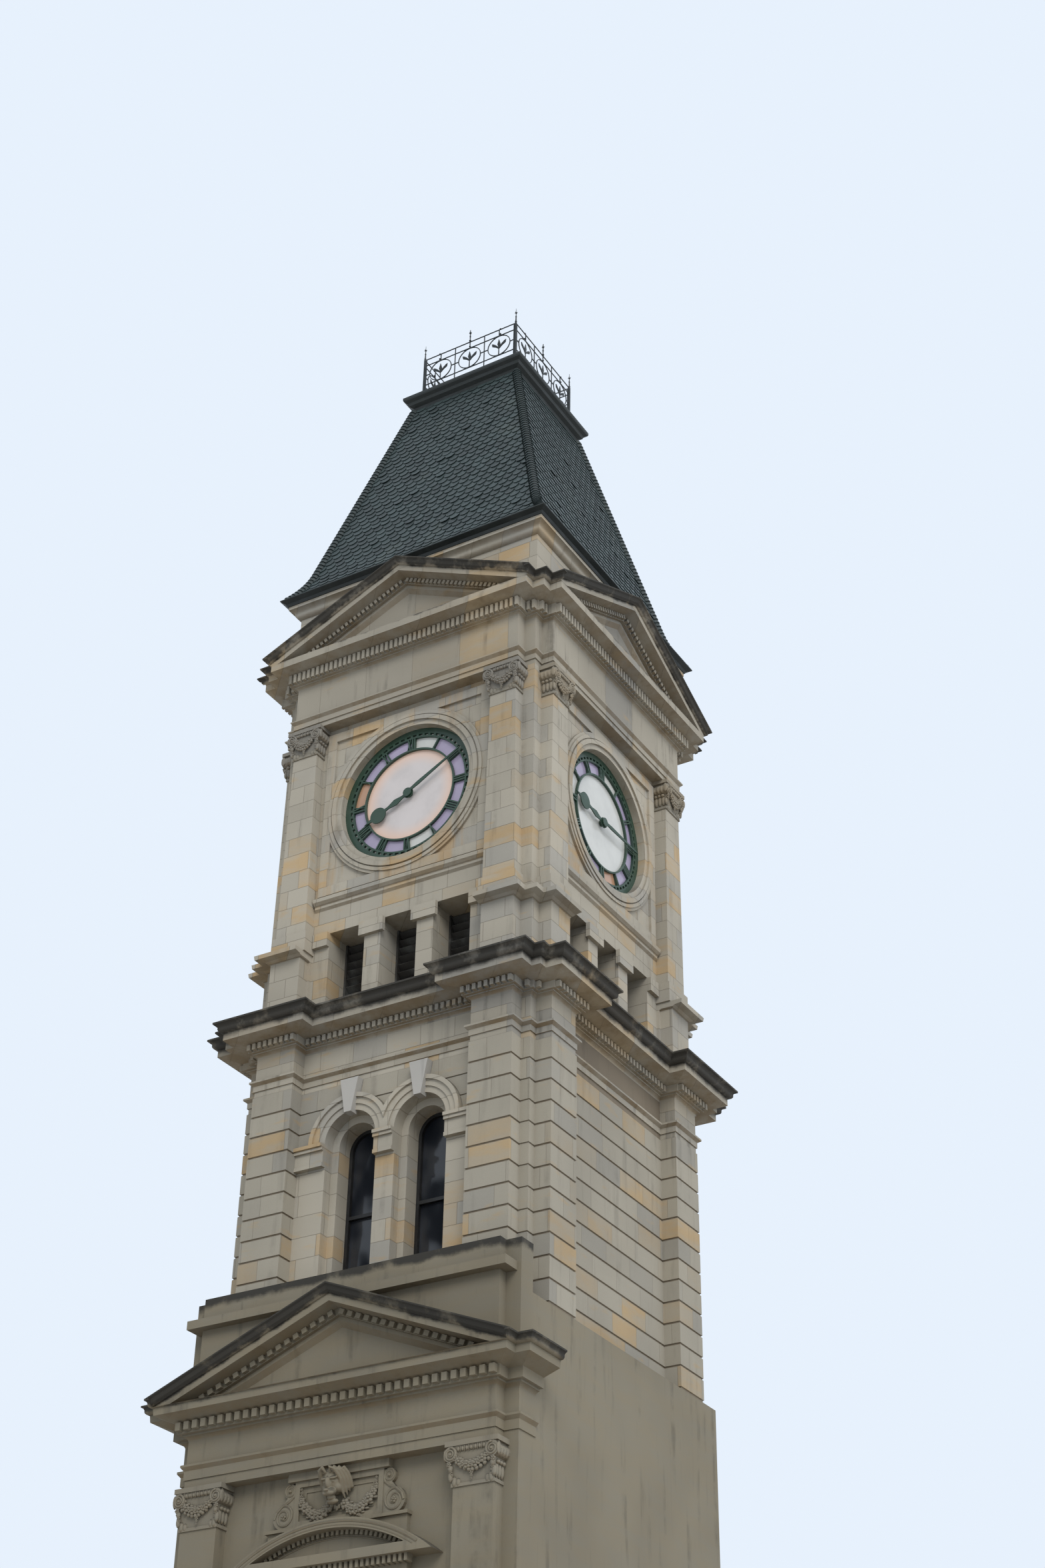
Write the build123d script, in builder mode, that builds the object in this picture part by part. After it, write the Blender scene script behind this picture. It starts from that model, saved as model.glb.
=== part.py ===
from build123d import *
import math
import os

os.makedirs("parts", exist_ok=True)

# A clock tower of dressed stone over an entrance pavilion, from ground level to the roof cresting.
# Millimetres, +Z up, front towards -Y, origin on the ground under the middle of the shaft.

# Plan of the shaft and of the base under it, which ends at plain party walls on both sides
SHAFT_HALF = 2500
SHAFT_WALL = 600
PIER_STEP = 157
PIER_STAND = 275
PIER_WIDTH = 720
BASE_HALF = SHAFT_HALF + PIER_STAND
BASE_PORCH = 315
BASE_FRONT = BASE_HALF + BASE_PORCH
BASE_WALL = 600
PAVILION_SET_IN = 228
PAVILION_HALF = BASE_HALF - PAVILION_SET_IN
PAVILION_STAND = 220
PAVILION_PILASTER_WIDTH = 625
RETURN_LENGTH = 420
PARAPET_HALF = PAVILION_HALF - 17
PARAPET_STAND = 166
PARAPET_FRONT = BASE_FRONT + PARAPET_STAND

# Levels of the base, each a height over the one below
PLINTH_TOP = 900
PLINTH_STAND = 80
BAND_BOTTOM = 5100
BAND_HEIGHT = 350
BAND_TOP = BAND_BOTTOM + BAND_HEIGHT
BAND_STAND = 110
ORDER_PLINTH = 850
ORDER_BOTTOM = BAND_TOP + ORDER_PLINTH
ORDER_HEIGHT = 4400
PAVILION_CAPITAL_BOTTOM = ORDER_BOTTOM + ORDER_HEIGHT
CAPITAL_HEIGHT = 590
PAVILION_SOFFIT = PAVILION_CAPITAL_BOTTOM + CAPITAL_HEIGHT
PAVILION_ARCHITRAVE = 340
PAVILION_FRIEZE = PAVILION_SOFFIT + PAVILION_ARCHITRAVE
FRIEZE_HEIGHT = 330
PAVILION_BED = PAVILION_FRIEZE + FRIEZE_HEIGHT
CORNICE_HEIGHT = 570
PAVILION_TOP = PAVILION_BED + CORNICE_HEIGHT
PAVILION_RISE = 1200
PAVILION_APEX = PAVILION_TOP + PAVILION_RISE
PARAPET_DIE = 1090
PARAPET_CAPPING = PAVILION_TOP + PARAPET_DIE
PARAPET_BLOCKING = 480
PARAPET_TOP = PARAPET_CAPPING + PARAPET_BLOCKING
DECK_RISE = 870
DECK_TOP = PAVILION_TOP + DECK_RISE
DECK_DEPTH = 300
DECK_BOTTOM = DECK_TOP - DECK_DEPTH
FLOOR_DEPTH = 150
VOLUTE_RADIUS = 105

# Entrance, and the window over it with its hood and tablet
DOOR_HALF = 800
DOOR_SPRING = 3100
DOOR_SET_BACK = 380
DOOR_DEPTH = 90
PANEL_HALF = 724
PANEL_HEIGHT = 730
PANEL_BOTTOM = PAVILION_SOFFIT - PANEL_HEIGHT
PANEL_STAND = 75
LEDGE_HALF = 1130
HOOD_RISE = 470
HOOD_SPRING = PANEL_BOTTOM - HOOD_RISE - 20
HOOD_HALF = 1520
HOOD_STAND = 300
WINDOW_HALF = 560
WINDOW_HEIGHT = 2550
WINDOW_HEAD = 820
WINDOW_TOP = HOOD_SPRING - WINDOW_HEAD
WINDOW_BOTTOM = WINDOW_TOP - WINDOW_HEIGHT
ARCHITRAVE_HALF = 1180

# Raking cornice of the pediments: stand over the wall face, and drop under the top edge
RAKE_PROFILE = ((-100, 480), (0, 480), (60, 400), (60, 345), (120, 345), (120, 255), (350, 225), (364, 225),
                (364, 120), (390, 120), (430, 90), (455, 40), (485, 20), (485, 0), (-100, 0))
CYMA = 120

# Rusticated lower stage of the shaft and the entablature over it
SHAFT_HEIGHT = 4120
STRING_BOTTOM = DECK_TOP + SHAFT_HEIGHT
STRING_HEIGHT = 260
MID_FRIEZE = STRING_BOTTOM + STRING_HEIGHT
MID_FRIEZE_HEIGHT = 415
MID_BED = MID_FRIEZE + MID_FRIEZE_HEIGHT
MID_BED_HEIGHT = 255
MID_CORONA = MID_BED + MID_BED_HEIGHT
MID_CORONA_HEIGHT = 290
MID_TOP = MID_CORONA + MID_CORONA_HEIGHT

# Paired arched windows in the front and back of the lower stage
ARCH_RADIUS = 460
ARCH_GAP = 340
ARCH_X = ARCH_RADIUS + ARCH_GAP / 2
ARCH_ORDER = 120
ARCH_ORDER_DEPTH = 180
ARCH_INNER_RADIUS = ARCH_RADIUS - ARCH_ORDER
ARCH_SILL = DECK_TOP + 900
ARCH_DROP = 960
ARCH_SPRING = STRING_BOTTOM - ARCH_DROP
ARCHIVOLT_WIDTH = 270
ARCHIVOLT_STAND = 70
IMPOST_HEIGHT = 370
IMPOST_BOTTOM = ARCH_SPRING - IMPOST_HEIGHT
IMPOST_STAND = 90
SASH_SET_BACK = 460
SASH_DEPTH = 60
SASH_BAR = 55
GLASS = 12

# Louvre stage
CLOCK_HALF = SHAFT_HALF - 50
CLOCK_WALL = 600
PILASTER_STEP = 210
PILASTER_STAND = 220
PEDESTAL_HALF = SHAFT_HALF
PEDESTAL_WIDTH = 790
PEDESTAL_HEIGHT = 1290
PEDESTAL_TOP = MID_TOP + PEDESTAL_HEIGHT
PEDESTAL_CAP = PEDESTAL_TOP - 130
LOUVRE_WIDTH = 690
LOUVRE_PIER_WIDTH = 310
LOUVRE_PIER_X = (LOUVRE_WIDTH + LOUVRE_PIER_WIDTH) / 2
LOUVRE_END_X = LOUVRE_PIER_X + LOUVRE_PIER_WIDTH / 2 + LOUVRE_WIDTH
LOUVRE_SILL = MID_TOP + 160
LOUVRE_HEAD = PEDESTAL_TOP + 350
LOUVRE_SET_BACK = 590
LOUVRE_PITCH = 148
LOUVRE_BLADE = 22
LOUVRE_STILE = 35
LOUVRE_BAND = 460
SILL_MOULDING = LOUVRE_HEAD + LOUVRE_BAND
SILL_HEIGHT = 200
SILL_TOP = SILL_MOULDING + SILL_HEIGHT

# Clock stage: the dial's square surround fills the bay between the pilasters
PILASTER_WIDTH_BOTTOM = 580
PILASTER_WIDTH_TOP = 485
SURROUND_CLEAR = 40
SURROUND_HALF = CLOCK_HALF - PILASTER_STEP - PILASTER_WIDTH_BOTTOM - SURROUND_CLEAR
SURROUND_RADIUS = SURROUND_HALF - 60
SURROUND_BORDER = 170
SURROUND_STAND = 45
DIAL_MOULDING = 300
DIAL_RADIUS = SURROUND_RADIUS - DIAL_MOULDING
DIAL_Z = SILL_TOP + SURROUND_HALF + 60
DIAL_HOLE = DIAL_RADIUS - 60
DIAL_SET_BACK = 90
DIAL_RING = 100
DIAL_TRACK_RADIUS = DIAL_RADIUS - DIAL_RING - 40
DIAL_BAND = 270
DIAL_INNER_RADIUS = DIAL_TRACK_RADIUS - DIAL_BAND
DIAL_BAR = 30
DIAL_DEPTH = 45
MINUTE_BAR = 44
NUMERAL_THICK = 26
NUMERAL_THIN = 14
NUMERALS = ("XII", "I", "II", "III", "IIII", "V", "VI", "VII", "VIII", "IX", "X", "XI")
LETTER_WIDTH = {"I": 44, "V": 84, "X": 84}
CLOCK_SOFFIT = DIAL_Z + SURROUND_HALF + 120
CLOCK_CAPITAL_HEIGHT = 560
CAPITAL_BOTTOM = CLOCK_SOFFIT - CLOCK_CAPITAL_HEIGHT
CLOCK_ARCHITRAVE = 260
CLOCK_FRIEZE = CLOCK_SOFFIT + CLOCK_ARCHITRAVE
CLOCK_FRIEZE_HEIGHT = 665
CLOCK_BED = CLOCK_FRIEZE + CLOCK_FRIEZE_HEIGHT
CLOCK_BED_HEIGHT = 335
CLOCK_CORONA = CLOCK_BED + CLOCK_BED_HEIGHT
CLOCK_CORONA_HEIGHT = 260
CLOCK_TOP = CLOCK_CORONA + CLOCK_CORONA_HEIGHT
CLOCK_RISE = 1250
CLOCK_APEX = CLOCK_TOP + CLOCK_RISE

# Attic and roof
ATTIC_HALF = CLOCK_HALF + 20
ATTIC_WALL = 350
ATTIC_CORNICE = CLOCK_APEX - 40
ATTIC_CORNICE_HEIGHT = 250
GUTTER_BOTTOM = ATTIC_CORNICE + ATTIC_CORNICE_HEIGHT
GUTTER_HEIGHT = 115
GUTTER_TOP = GUTTER_BOTTOM + GUTTER_HEIGHT
ROOF_FOOT_HALF = ATTIC_HALF + 210
ROOF_SWEEP = 355
ROOF_SWEEP_HEIGHT = 735
ROOF_BEND_HALF = ROOF_FOOT_HALF - ROOF_SWEEP
ROOF_BEND = GUTTER_TOP + ROOF_SWEEP_HEIGHT
ROOF_BATTER = 1168
ROOF_HEIGHT = 4450
ROOF_HEAD_HALF = ROOF_BEND_HALF - ROOF_BATTER
ROOF_HEAD = ROOF_BEND + ROOF_HEIGHT
ROOF_SKIN = 90
HIP_RADIUS = 55
HIP_LIFT = 12
CAP_HEIGHT = 270
CAP_TOP = ROOF_HEAD + CAP_HEIGHT

# Cresting on the roof cap
CREST_HALF = ROOF_HEAD_HALF - 107
CREST_HEIGHT = 1130
CREST_TOP = CAP_TOP + CREST_HEIGHT
SPIKE_HEIGHT = 380
CREST_SPIKE = CREST_TOP + SPIKE_HEIGHT
RAIL_GAP = 170
CREST_BAR = 16
CREST_BAYS = 3

# Clock hands
HAND_CLEAR = 12
HOUR_DEPTH = 18
MINUTE_DEPTH = 18
HOUR_REACH = DIAL_INNER_RADIUS + 80
MINUTE_REACH = DIAL_TRACK_RADIUS + 30
BOSS_RADIUS = 95
ARBOR_RADIUS = 34
FRONT_TIME = (8, 10)
SIDE_TIME = (9, 15)


def save(solid, name):
    solid.label = name
    export_step(solid, f"parts/{name}.step")


def quarter_turns(points, count=4):
    """Repeats plan points of the front right corner round the tower."""
    all_points = []
    for turn in range(count):
        for x, y in points:
            for _ in range(turn):
                x, y = -y, x
            all_points.append((x, y))
    return all_points


def corner_plan(half, step, stand, width=None):
    """Plan with a pier on each side of each corner; width leaves a recess between the piers."""
    inner = half - step
    outer = half + stand
    corner = [(inner, -outer), (inner, -half), (half, -half), (half, -inner), (outer, -inner)]
    if width is not None:
        corner = [(inner - width, -half), (inner - width, -outer)] + corner
        corner += [(outer, -(inner - width)), (half, -(inner - width))]
    return quarter_turns(corner)


def closed_path(plan):
    """Starts in the middle of the front so that every corner is mitred."""
    start = (0, plan[0][1])
    return [start] + plan + [start]


def swept_moulding(path, face_y, outline):
    """Sweeps a moulding round a plan; outline holds (stand, z), and a third entry bulges a side."""
    with BuildPart() as ring:
        with BuildLine() as way:
            Polyline(*path)
        with BuildSketch(Plane.YZ.offset(path[0][0])):
            with BuildLine():
                for index, point in enumerate(outline):
                    last = outline[index - 1]
                    a = (-(face_y + last[0]), last[1])
                    b = (-(face_y + point[0]), point[1])
                    if len(point) > 2:
                        SagittaArc(a, b, point[2])
                    else:
                        Line(a, b)
            make_face()
        sweep(path=way.line, transition=Transition.RIGHT)
    return ring.part


def cyma(start, end, bulge):
    """Two opposed arcs from start to end, as outline points."""
    middle = ((start[0] + end[0]) / 2, (start[1] + end[1]) / 2)
    return [(*middle, bulge), (*end, -bulge)]


def around(solid, count=4):
    return [Rot(0, 0, 360 / count * turn) * solid for turn in range(count)]


# Plinth round the foot of the walls, left open at the doorway
with BuildPart() as base_plinth:
    with BuildSketch():
        with Locations((0, (BASE_HALF - BASE_FRONT) / 2)):
            Rectangle(2 * BASE_HALF, BASE_HALF + BASE_FRONT + 2 * PLINTH_STAND)
            Rectangle(2 * BASE_HALF, BASE_HALF + BASE_FRONT, mode=Mode.SUBTRACT)
        with Locations((0, -BASE_FRONT - PLINTH_STAND / 2)):
            Rectangle(2 * DOOR_HALF + 560, 3 * PLINTH_STAND, mode=Mode.SUBTRACT)
    extrude(amount=PLINTH_TOP)
save(base_plinth.part, "base_plinth")

# Ground floor front wall with its arched doorway
with BuildPart() as ground_front_wall:
    with BuildSketch(Plane.XZ.offset(BASE_FRONT)):
        with Locations((0, BAND_TOP / 2)):
            Rectangle(2 * BASE_HALF, BAND_TOP)
        with Locations((0, DOOR_SPRING / 2)):
            Rectangle(2 * DOOR_HALF, DOOR_SPRING, mode=Mode.SUBTRACT)
        with Locations((0, DOOR_SPRING)):
            Circle(DOOR_HALF, mode=Mode.SUBTRACT)
    extrude(amount=-BASE_WALL)
save(ground_front_wall.part, "ground_front_wall")

# Archivolt, keystone and imposts round the doorway
with BuildPart() as door_surround:
    with BuildSketch(Plane.XZ.offset(BASE_FRONT)):
        with Locations((0, DOOR_SPRING)):
            Circle(DOOR_HALF + 260)
            Rectangle(4 * DOOR_HALF, 2 * DOOR_HALF, align=(Align.CENTER, Align.MAX), mode=Mode.SUBTRACT)
            Circle(DOOR_HALF, mode=Mode.SUBTRACT)
    extrude(amount=90)
    with BuildSketch(Plane.XZ.offset(BASE_FRONT)):
        Polygon((-90, DOOR_SPRING + DOOR_HALF - 40), (90, DOOR_SPRING + DOOR_HALF - 40),
                (190, DOOR_SPRING + DOOR_HALF + 420), (-190, DOOR_SPRING + DOOR_HALF + 420), align=None)
    extrude(amount=160)
    for side in (-1, 1):
        with Locations((side * (DOOR_HALF + 150), -BASE_FRONT, DOOR_SPRING - 160)):
            Box(300, 120, 160, align=(Align.CENTER, Align.MAX, Align.MIN))
        with Locations((side * (DOOR_HALF + 145), -BASE_FRONT, 0)):
            Box(250, 90, DOOR_SPRING - 160, align=(Align.CENTER, Align.MAX, Align.MIN))
    with Locations((0, -BASE_FRONT, 0)):
        Box(2 * DOOR_HALF, 400, DOOR_SPRING, align=(Align.CENTER, Align.CENTER, Align.MIN),
            mode=Mode.SUBTRACT)
save(door_surround.part, "door_surround")

# Doors and fanlight that close the doorway
door_y = -BASE_FRONT + DOOR_SET_BACK
with BuildPart() as entrance_doors:
    with BuildSketch(Plane.XZ.offset(-door_y)):
        with Locations((0, DOOR_SPRING / 2)):
            Rectangle(2 * DOOR_HALF, DOOR_SPRING)
        with Locations((0, DOOR_SPRING)):
            Circle(DOOR_HALF)
        with Locations((0, DOOR_SPRING + DOOR_HALF * 2)):
            Rectangle(4 * DOOR_HALF, 2 * DOOR_HALF, mode=Mode.SUBTRACT)
    extrude(amount=-DOOR_DEPTH)
save(entrance_doors.part, "entrance_doors")

# Band between the storeys
with BuildPart() as storey_band:
    with Locations((0, -BASE_FRONT - BAND_STAND / 2, (BAND_BOTTOM + BAND_TOP) / 2)):
        Box(2 * BASE_HALF, BAND_STAND, BAND_TOP - BAND_BOTTOM)
save(storey_band.part, "storey_band")

# First floor front wall with its window opening
with BuildPart() as first_front_wall:
    with BuildSketch(Plane.XZ.offset(BASE_FRONT)):
        with Locations((0, (BAND_TOP + DECK_BOTTOM) / 2)):
            Rectangle(2 * BASE_HALF, DECK_BOTTOM - BAND_TOP)
        with Locations((0, (WINDOW_BOTTOM + WINDOW_TOP) / 2)):
            Rectangle(2 * WINDOW_HALF, WINDOW_TOP - WINDOW_BOTTOM, mode=Mode.SUBTRACT)
    extrude(amount=-BASE_WALL)
save(first_front_wall.part, "first_front_wall")

# Plain party walls and back wall of the base
party_inner = BASE_HALF - BASE_WALL
with BuildPart() as party_walls:
    for side in (-1, 1):
        with Locations((side * (BASE_HALF - BASE_WALL / 2), (party_inner - BASE_FRONT + BASE_WALL) / 2, 0)):
            Box(BASE_WALL, party_inner + BASE_FRONT - BASE_WALL, DECK_BOTTOM,
                align=(Align.CENTER, Align.CENTER, Align.MIN))
save(party_walls.part, "party_walls")

with BuildPart() as base_back_wall:
    with BuildSketch(Plane.XZ.offset(-BASE_HALF)):
        with Locations((0, DECK_BOTTOM / 2)):
            Rectangle(2 * BASE_HALF, DECK_BOTTOM)
        with Locations((0, (WINDOW_BOTTOM + WINDOW_TOP) / 2)):
            Rectangle(2 * WINDOW_HALF, WINDOW_TOP - WINDOW_BOTTOM, mode=Mode.SUBTRACT)
    extrude(amount=BASE_WALL)
save(base_back_wall.part, "base_back_wall")

# Floors seen through the doors and windows, each one slab between its walls
clock_inner = CLOCK_HALF - CLOCK_WALL
shaft_inner = SHAFT_HALF - SHAFT_WALL
with BuildPart() as floor_slabs:
    for top in (FLOOR_DEPTH, BAND_TOP):
        with Locations((0, (party_inner - BASE_FRONT + BASE_WALL) / 2, top - FLOOR_DEPTH)):
            Box(2 * party_inner, party_inner + BASE_FRONT - BASE_WALL, FLOOR_DEPTH,
                align=(Align.CENTER, Align.CENTER, Align.MIN))
    with Locations((0, 0, MID_TOP - FLOOR_DEPTH)):
        Box(2 * shaft_inner, 2 * shaft_inner, FLOOR_DEPTH, align=(Align.CENTER, Align.CENTER, Align.MIN))
    with Locations((0, 0, SILL_MOULDING - FLOOR_DEPTH)):
        Box(2 * clock_inner, 2 * clock_inner, FLOOR_DEPTH, align=(Align.CENTER, Align.CENTER, Align.MIN))
save(floor_slabs.part, "floor_slabs")

# Roof deck of the base, which carries the shaft
with BuildPart() as roof_deck:
    with BuildSketch(Plane.XY.offset(DECK_BOTTOM)):
        with Locations((0, (BASE_HALF - BASE_FRONT) / 2)):
            Rectangle(2 * BASE_HALF, BASE_HALF + BASE_FRONT)
    extrude(amount=DECK_TOP - DECK_BOTTOM)
save(roof_deck.part, "roof_deck")

# Pilasters of the pavilion with their plinths and bases
with BuildPart() as pavilion_pilasters:
    for side in (-1, 1):
        middle = side * (PAVILION_HALF - PAVILION_PILASTER_WIDTH / 2)
        face = -BASE_FRONT - PAVILION_STAND / 2
        with Locations((middle, face, BAND_TOP)):
            Box(PAVILION_PILASTER_WIDTH + 160, PAVILION_STAND + 60, ORDER_BOTTOM - BAND_TOP,
                align=(Align.CENTER, Align.CENTER, Align.MIN))
        with Locations((middle, face, ORDER_BOTTOM)):
            Box(PAVILION_PILASTER_WIDTH, PAVILION_STAND, PAVILION_CAPITAL_BOTTOM - ORDER_BOTTOM,
                align=(Align.CENTER, Align.CENTER, Align.MIN))
    with BuildSketch():
        with Locations((0, 0)):
            Rectangle(2 * BASE_HALF, 2 * BASE_FRONT)
    extrude(amount=PAVILION_TOP, mode=Mode.SUBTRACT)
save(pavilion_pilasters.part, "pavilion_pilasters")

pavilion_middle = PAVILION_HALF - PAVILION_PILASTER_WIDTH / 2
with BuildPart() as pavilion_capitals:
    with BuildSketch(Plane.XY.offset(PAVILION_CAPITAL_BOTTOM)):
        with Locations((pavilion_middle, -BASE_FRONT)):
            Rectangle(PAVILION_PILASTER_WIDTH + 40, PAVILION_STAND + 20, align=(Align.CENTER, Align.MAX))
    extrude(amount=45)
    with BuildSketch(Plane.XY.offset(PAVILION_CAPITAL_BOTTOM + 45)):
        with Locations((pavilion_middle, -BASE_FRONT)):
            Rectangle(PAVILION_PILASTER_WIDTH, PAVILION_STAND, align=(Align.CENTER, Align.MAX))
    with BuildSketch(Plane.XY.offset(PAVILION_SOFFIT - 70)):
        with Locations((pavilion_middle, -BASE_FRONT)):
            Rectangle(PAVILION_PILASTER_WIDTH + 110, PAVILION_STAND + 70, align=(Align.CENTER, Align.MAX))
    loft(ruled=True)
    with BuildSketch(Plane.XY.offset(PAVILION_SOFFIT - 70)):
        with Locations((pavilion_middle, -BASE_FRONT)):
            Rectangle(PAVILION_PILASTER_WIDTH + 190, PAVILION_STAND + 85, align=(Align.CENTER, Align.MAX))
    extrude(amount=70)
    with BuildSketch(Plane.XZ.offset(BASE_FRONT)):
        for side in (-1, 1):
            volute_x = pavilion_middle + side * (PAVILION_PILASTER_WIDTH / 2 + 5)
            with Locations((volute_x, PAVILION_SOFFIT - 70 - VOLUTE_RADIUS)):
                RegularPolygon(VOLUTE_RADIUS, 14)
    extrude(amount=PAVILION_STAND + 80)
    mirror(about=Plane.YZ)
save(pavilion_capitals.part, "pavilion_capitals")

# Entablature of the pavilion, which steps back at the ends and returns along the party walls
pavilion_face = BASE_FRONT + PAVILION_STAND
pavilion_path = [(0, -pavilion_face), (PAVILION_HALF, -pavilion_face), (PAVILION_HALF, -BASE_FRONT),
                 (BASE_HALF, -BASE_FRONT), (BASE_HALF, -BASE_FRONT + RETURN_LENGTH)]
pavilion_outline = [(-PAVILION_STAND, PAVILION_SOFFIT), (0, PAVILION_SOFFIT), (0, PAVILION_SOFFIT + 130),
                    (18, PAVILION_SOFFIT + 130), (18, PAVILION_SOFFIT + 260), (60, PAVILION_FRIEZE - 30),
                    (60, PAVILION_FRIEZE), (0, PAVILION_FRIEZE), (0, PAVILION_BED),
                    (70, PAVILION_BED + 70, -20), (70, PAVILION_BED + 100), (130, PAVILION_BED + 100),
                    (130, PAVILION_BED + 250),
                    (380, PAVILION_BED + 340), (390, PAVILION_TOP - 125), (410, PAVILION_TOP - 125)]
pavilion_outline += cyma((410, PAVILION_TOP - 125), (490, PAVILION_TOP - 25), 12)
pavilion_outline += [(490, PAVILION_TOP), (-PAVILION_STAND, PAVILION_TOP)]
with BuildPart() as pavilion_entablature:
    add(swept_moulding(pavilion_path, pavilion_face, pavilion_outline))
    mirror(about=Plane.YZ)
    with Locations((0, 0, PAVILION_SOFFIT - 10)):
        Box(2 * BASE_HALF, 2 * BASE_FRONT, 2 * (PAVILION_TOP - PAVILION_SOFFIT),
            align=(Align.CENTER, Align.CENTER, Align.MIN), mode=Mode.SUBTRACT)
    with Locations((0, -PARAPET_FRONT, PAVILION_TOP - CYMA)):
        Box(2 * PAVILION_HALF + 820, 800, 2 * CYMA, align=(Align.CENTER, Align.MAX, Align.MIN),
            mode=Mode.SUBTRACT)
save(pavilion_entablature.part, "pavilion_entablature")


def pediment(face_y, corner_half, return_half, base_z, corner_z, apex_z, back_y):
    """A gabled block facing -Y; its raking mouldings start on the cornice, whose ends are left to it."""
    rise = math.atan2(apex_z - corner_z, corner_half)
    run = Vector(math.cos(rise), 0, math.sin(rise))
    beyond = 1.2 * corner_half
    low = apex_z - 1.2 * (apex_z - corner_z)
    tall = 2 * (apex_z - base_z)
    with BuildPart() as gable:
        with BuildSketch(Plane.XZ.offset(face_y)):
            with BuildLine():
                Polyline((-corner_half, base_z), (corner_half, base_z), (corner_half, corner_z), (0, apex_z),
                         (-corner_half, corner_z), close=True)
            make_face()
        extrude(amount=back_y - face_y)
        with BuildLine() as rakes:
            Polyline((-beyond, 0, low), (0, 0, apex_z), (beyond, 0, low))
        with BuildSketch(Plane((-beyond, 0, low), x_dir=(0, 1, 0), z_dir=run)):
            with BuildLine():
                Polyline(*[(-(face_y + stand), -drop) for stand, drop in RAKE_PROFILE], close=True)
            make_face()
        sweep(path=rakes.line, transition=Transition.RIGHT)
        with Locations((0, 0, base_z)):
            Box(4 * corner_half, 4 * face_y, tall, align=(Align.CENTER, Align.CENTER, Align.MAX),
                mode=Mode.SUBTRACT)
        for side, align in ((-1, Align.MAX), (1, Align.MIN)):
            with Locations((side * corner_half, 0, base_z)):
                Box(corner_half, 4 * face_y, 2 * tall, align=(align, Align.CENTER, Align.CENTER),
                    mode=Mode.SUBTRACT)
            with Locations((side * return_half, 0, corner_z)):
                Box(corner_half, 4 * face_y, tall, align=(align, Align.CENTER, Align.MAX),
                    mode=Mode.SUBTRACT)
    return gable.part


pavilion_gable = pediment(pavilion_face, PAVILION_HALF + 490, PAVILION_HALF + 410, PAVILION_TOP - CYMA,
                          PAVILION_TOP, PAVILION_APEX, PARAPET_FRONT)
with BuildPart() as pavilion_pediment:
    add(pavilion_gable)
    add(pavilion_entablature.part, mode=Mode.SUBTRACT)
save(pavilion_pediment.part, "pavilion_pediment")

# Parapet over the pavilion, with its capping moulding and plain blocking course
with BuildPart() as parapet:
    with BuildSketch(Plane.XY.offset(PAVILION_TOP)):
        with Locations((0, -PARAPET_FRONT)):
            Rectangle(2 * PARAPET_HALF, PARAPET_FRONT - BASE_FRONT, align=(Align.CENTER, Align.MIN))
    extrude(amount=PARAPET_TOP - PAVILION_TOP)
    with BuildSketch(Plane.XY.offset(DECK_TOP)):
        with Locations((0, -BASE_FRONT)):
            Rectangle(2 * BASE_HALF, BASE_FRONT - SHAFT_HALF - PIER_STAND, align=(Align.CENTER, Align.MIN))
    extrude(amount=PARAPET_TOP - DECK_TOP)
    with Locations((0, -PARAPET_FRONT - 150, PARAPET_CAPPING)):
        Box(2 * PARAPET_HALF + 360, PARAPET_FRONT - BASE_FRONT + 150, 130,
            align=(Align.CENTER, Align.MIN, Align.MIN))
    add(pavilion_gable, mode=Mode.SUBTRACT)
save(parapet.part, "parapet")

# Surround of the first floor window: architrave, frieze and a segmental hood with a sunk field
hood_radius = (HOOD_HALF ** 2 + HOOD_RISE ** 2) / (2 * HOOD_RISE)
hood_centre = HOOD_SPRING + HOOD_RISE - hood_radius


def hood_field(inset):
    """Segment of a circle over the window, drawn in by inset all round."""
    radius = hood_radius - inset
    level = HOOD_SPRING - 110 + inset
    half = math.sqrt(radius ** 2 - (level - hood_centre) ** 2)
    with BuildSketch(Plane.XZ.offset(BASE_FRONT), mode=Mode.PRIVATE) as field:
        with BuildLine():
            Line((-half, level), (half, level))
            ThreePointArc((half, level), (0, hood_centre + radius), (-half, level))
        make_face()
    return field.sketch


with BuildPart() as window_surround:
    with BuildSketch(Plane.XZ.offset(BASE_FRONT)):
        with Locations((0, (WINDOW_BOTTOM - 300 + HOOD_SPRING - 110) / 2)):
            Rectangle(2 * ARCHITRAVE_HALF, HOOD_SPRING - 110 - WINDOW_BOTTOM + 300)
        with Locations((0, (WINDOW_BOTTOM + WINDOW_TOP) / 2)):
            Rectangle(2 * WINDOW_HALF, WINDOW_TOP - WINDOW_BOTTOM, mode=Mode.SUBTRACT)
    extrude(amount=110)
    with BuildSketch(Plane.XZ.offset(BASE_FRONT)):
        with Locations((0, (WINDOW_BOTTOM + WINDOW_TOP) / 2)):
            Rectangle(2 * WINDOW_HALF + 260, WINDOW_TOP - WINDOW_BOTTOM + 260)
            Rectangle(2 * WINDOW_HALF, WINDOW_TOP - WINDOW_BOTTOM, mode=Mode.SUBTRACT)
    extrude(amount=160)
    with Locations((0, -BASE_FRONT, WINDOW_BOTTOM - 300)):
        Box(2 * ARCHITRAVE_HALF + 120, 220, 130, align=(Align.CENTER, Align.MAX, Align.MIN))
    extrude(hood_field(0), amount=HOOD_STAND, dir=(0, -1, 0))
    extrude(Pos(0, -HOOD_STAND, 0) * hood_field(130), amount=-(HOOD_STAND - 110), dir=(0, -1, 0),
            mode=Mode.SUBTRACT)
save(window_surround.part, "window_surround")

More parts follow.
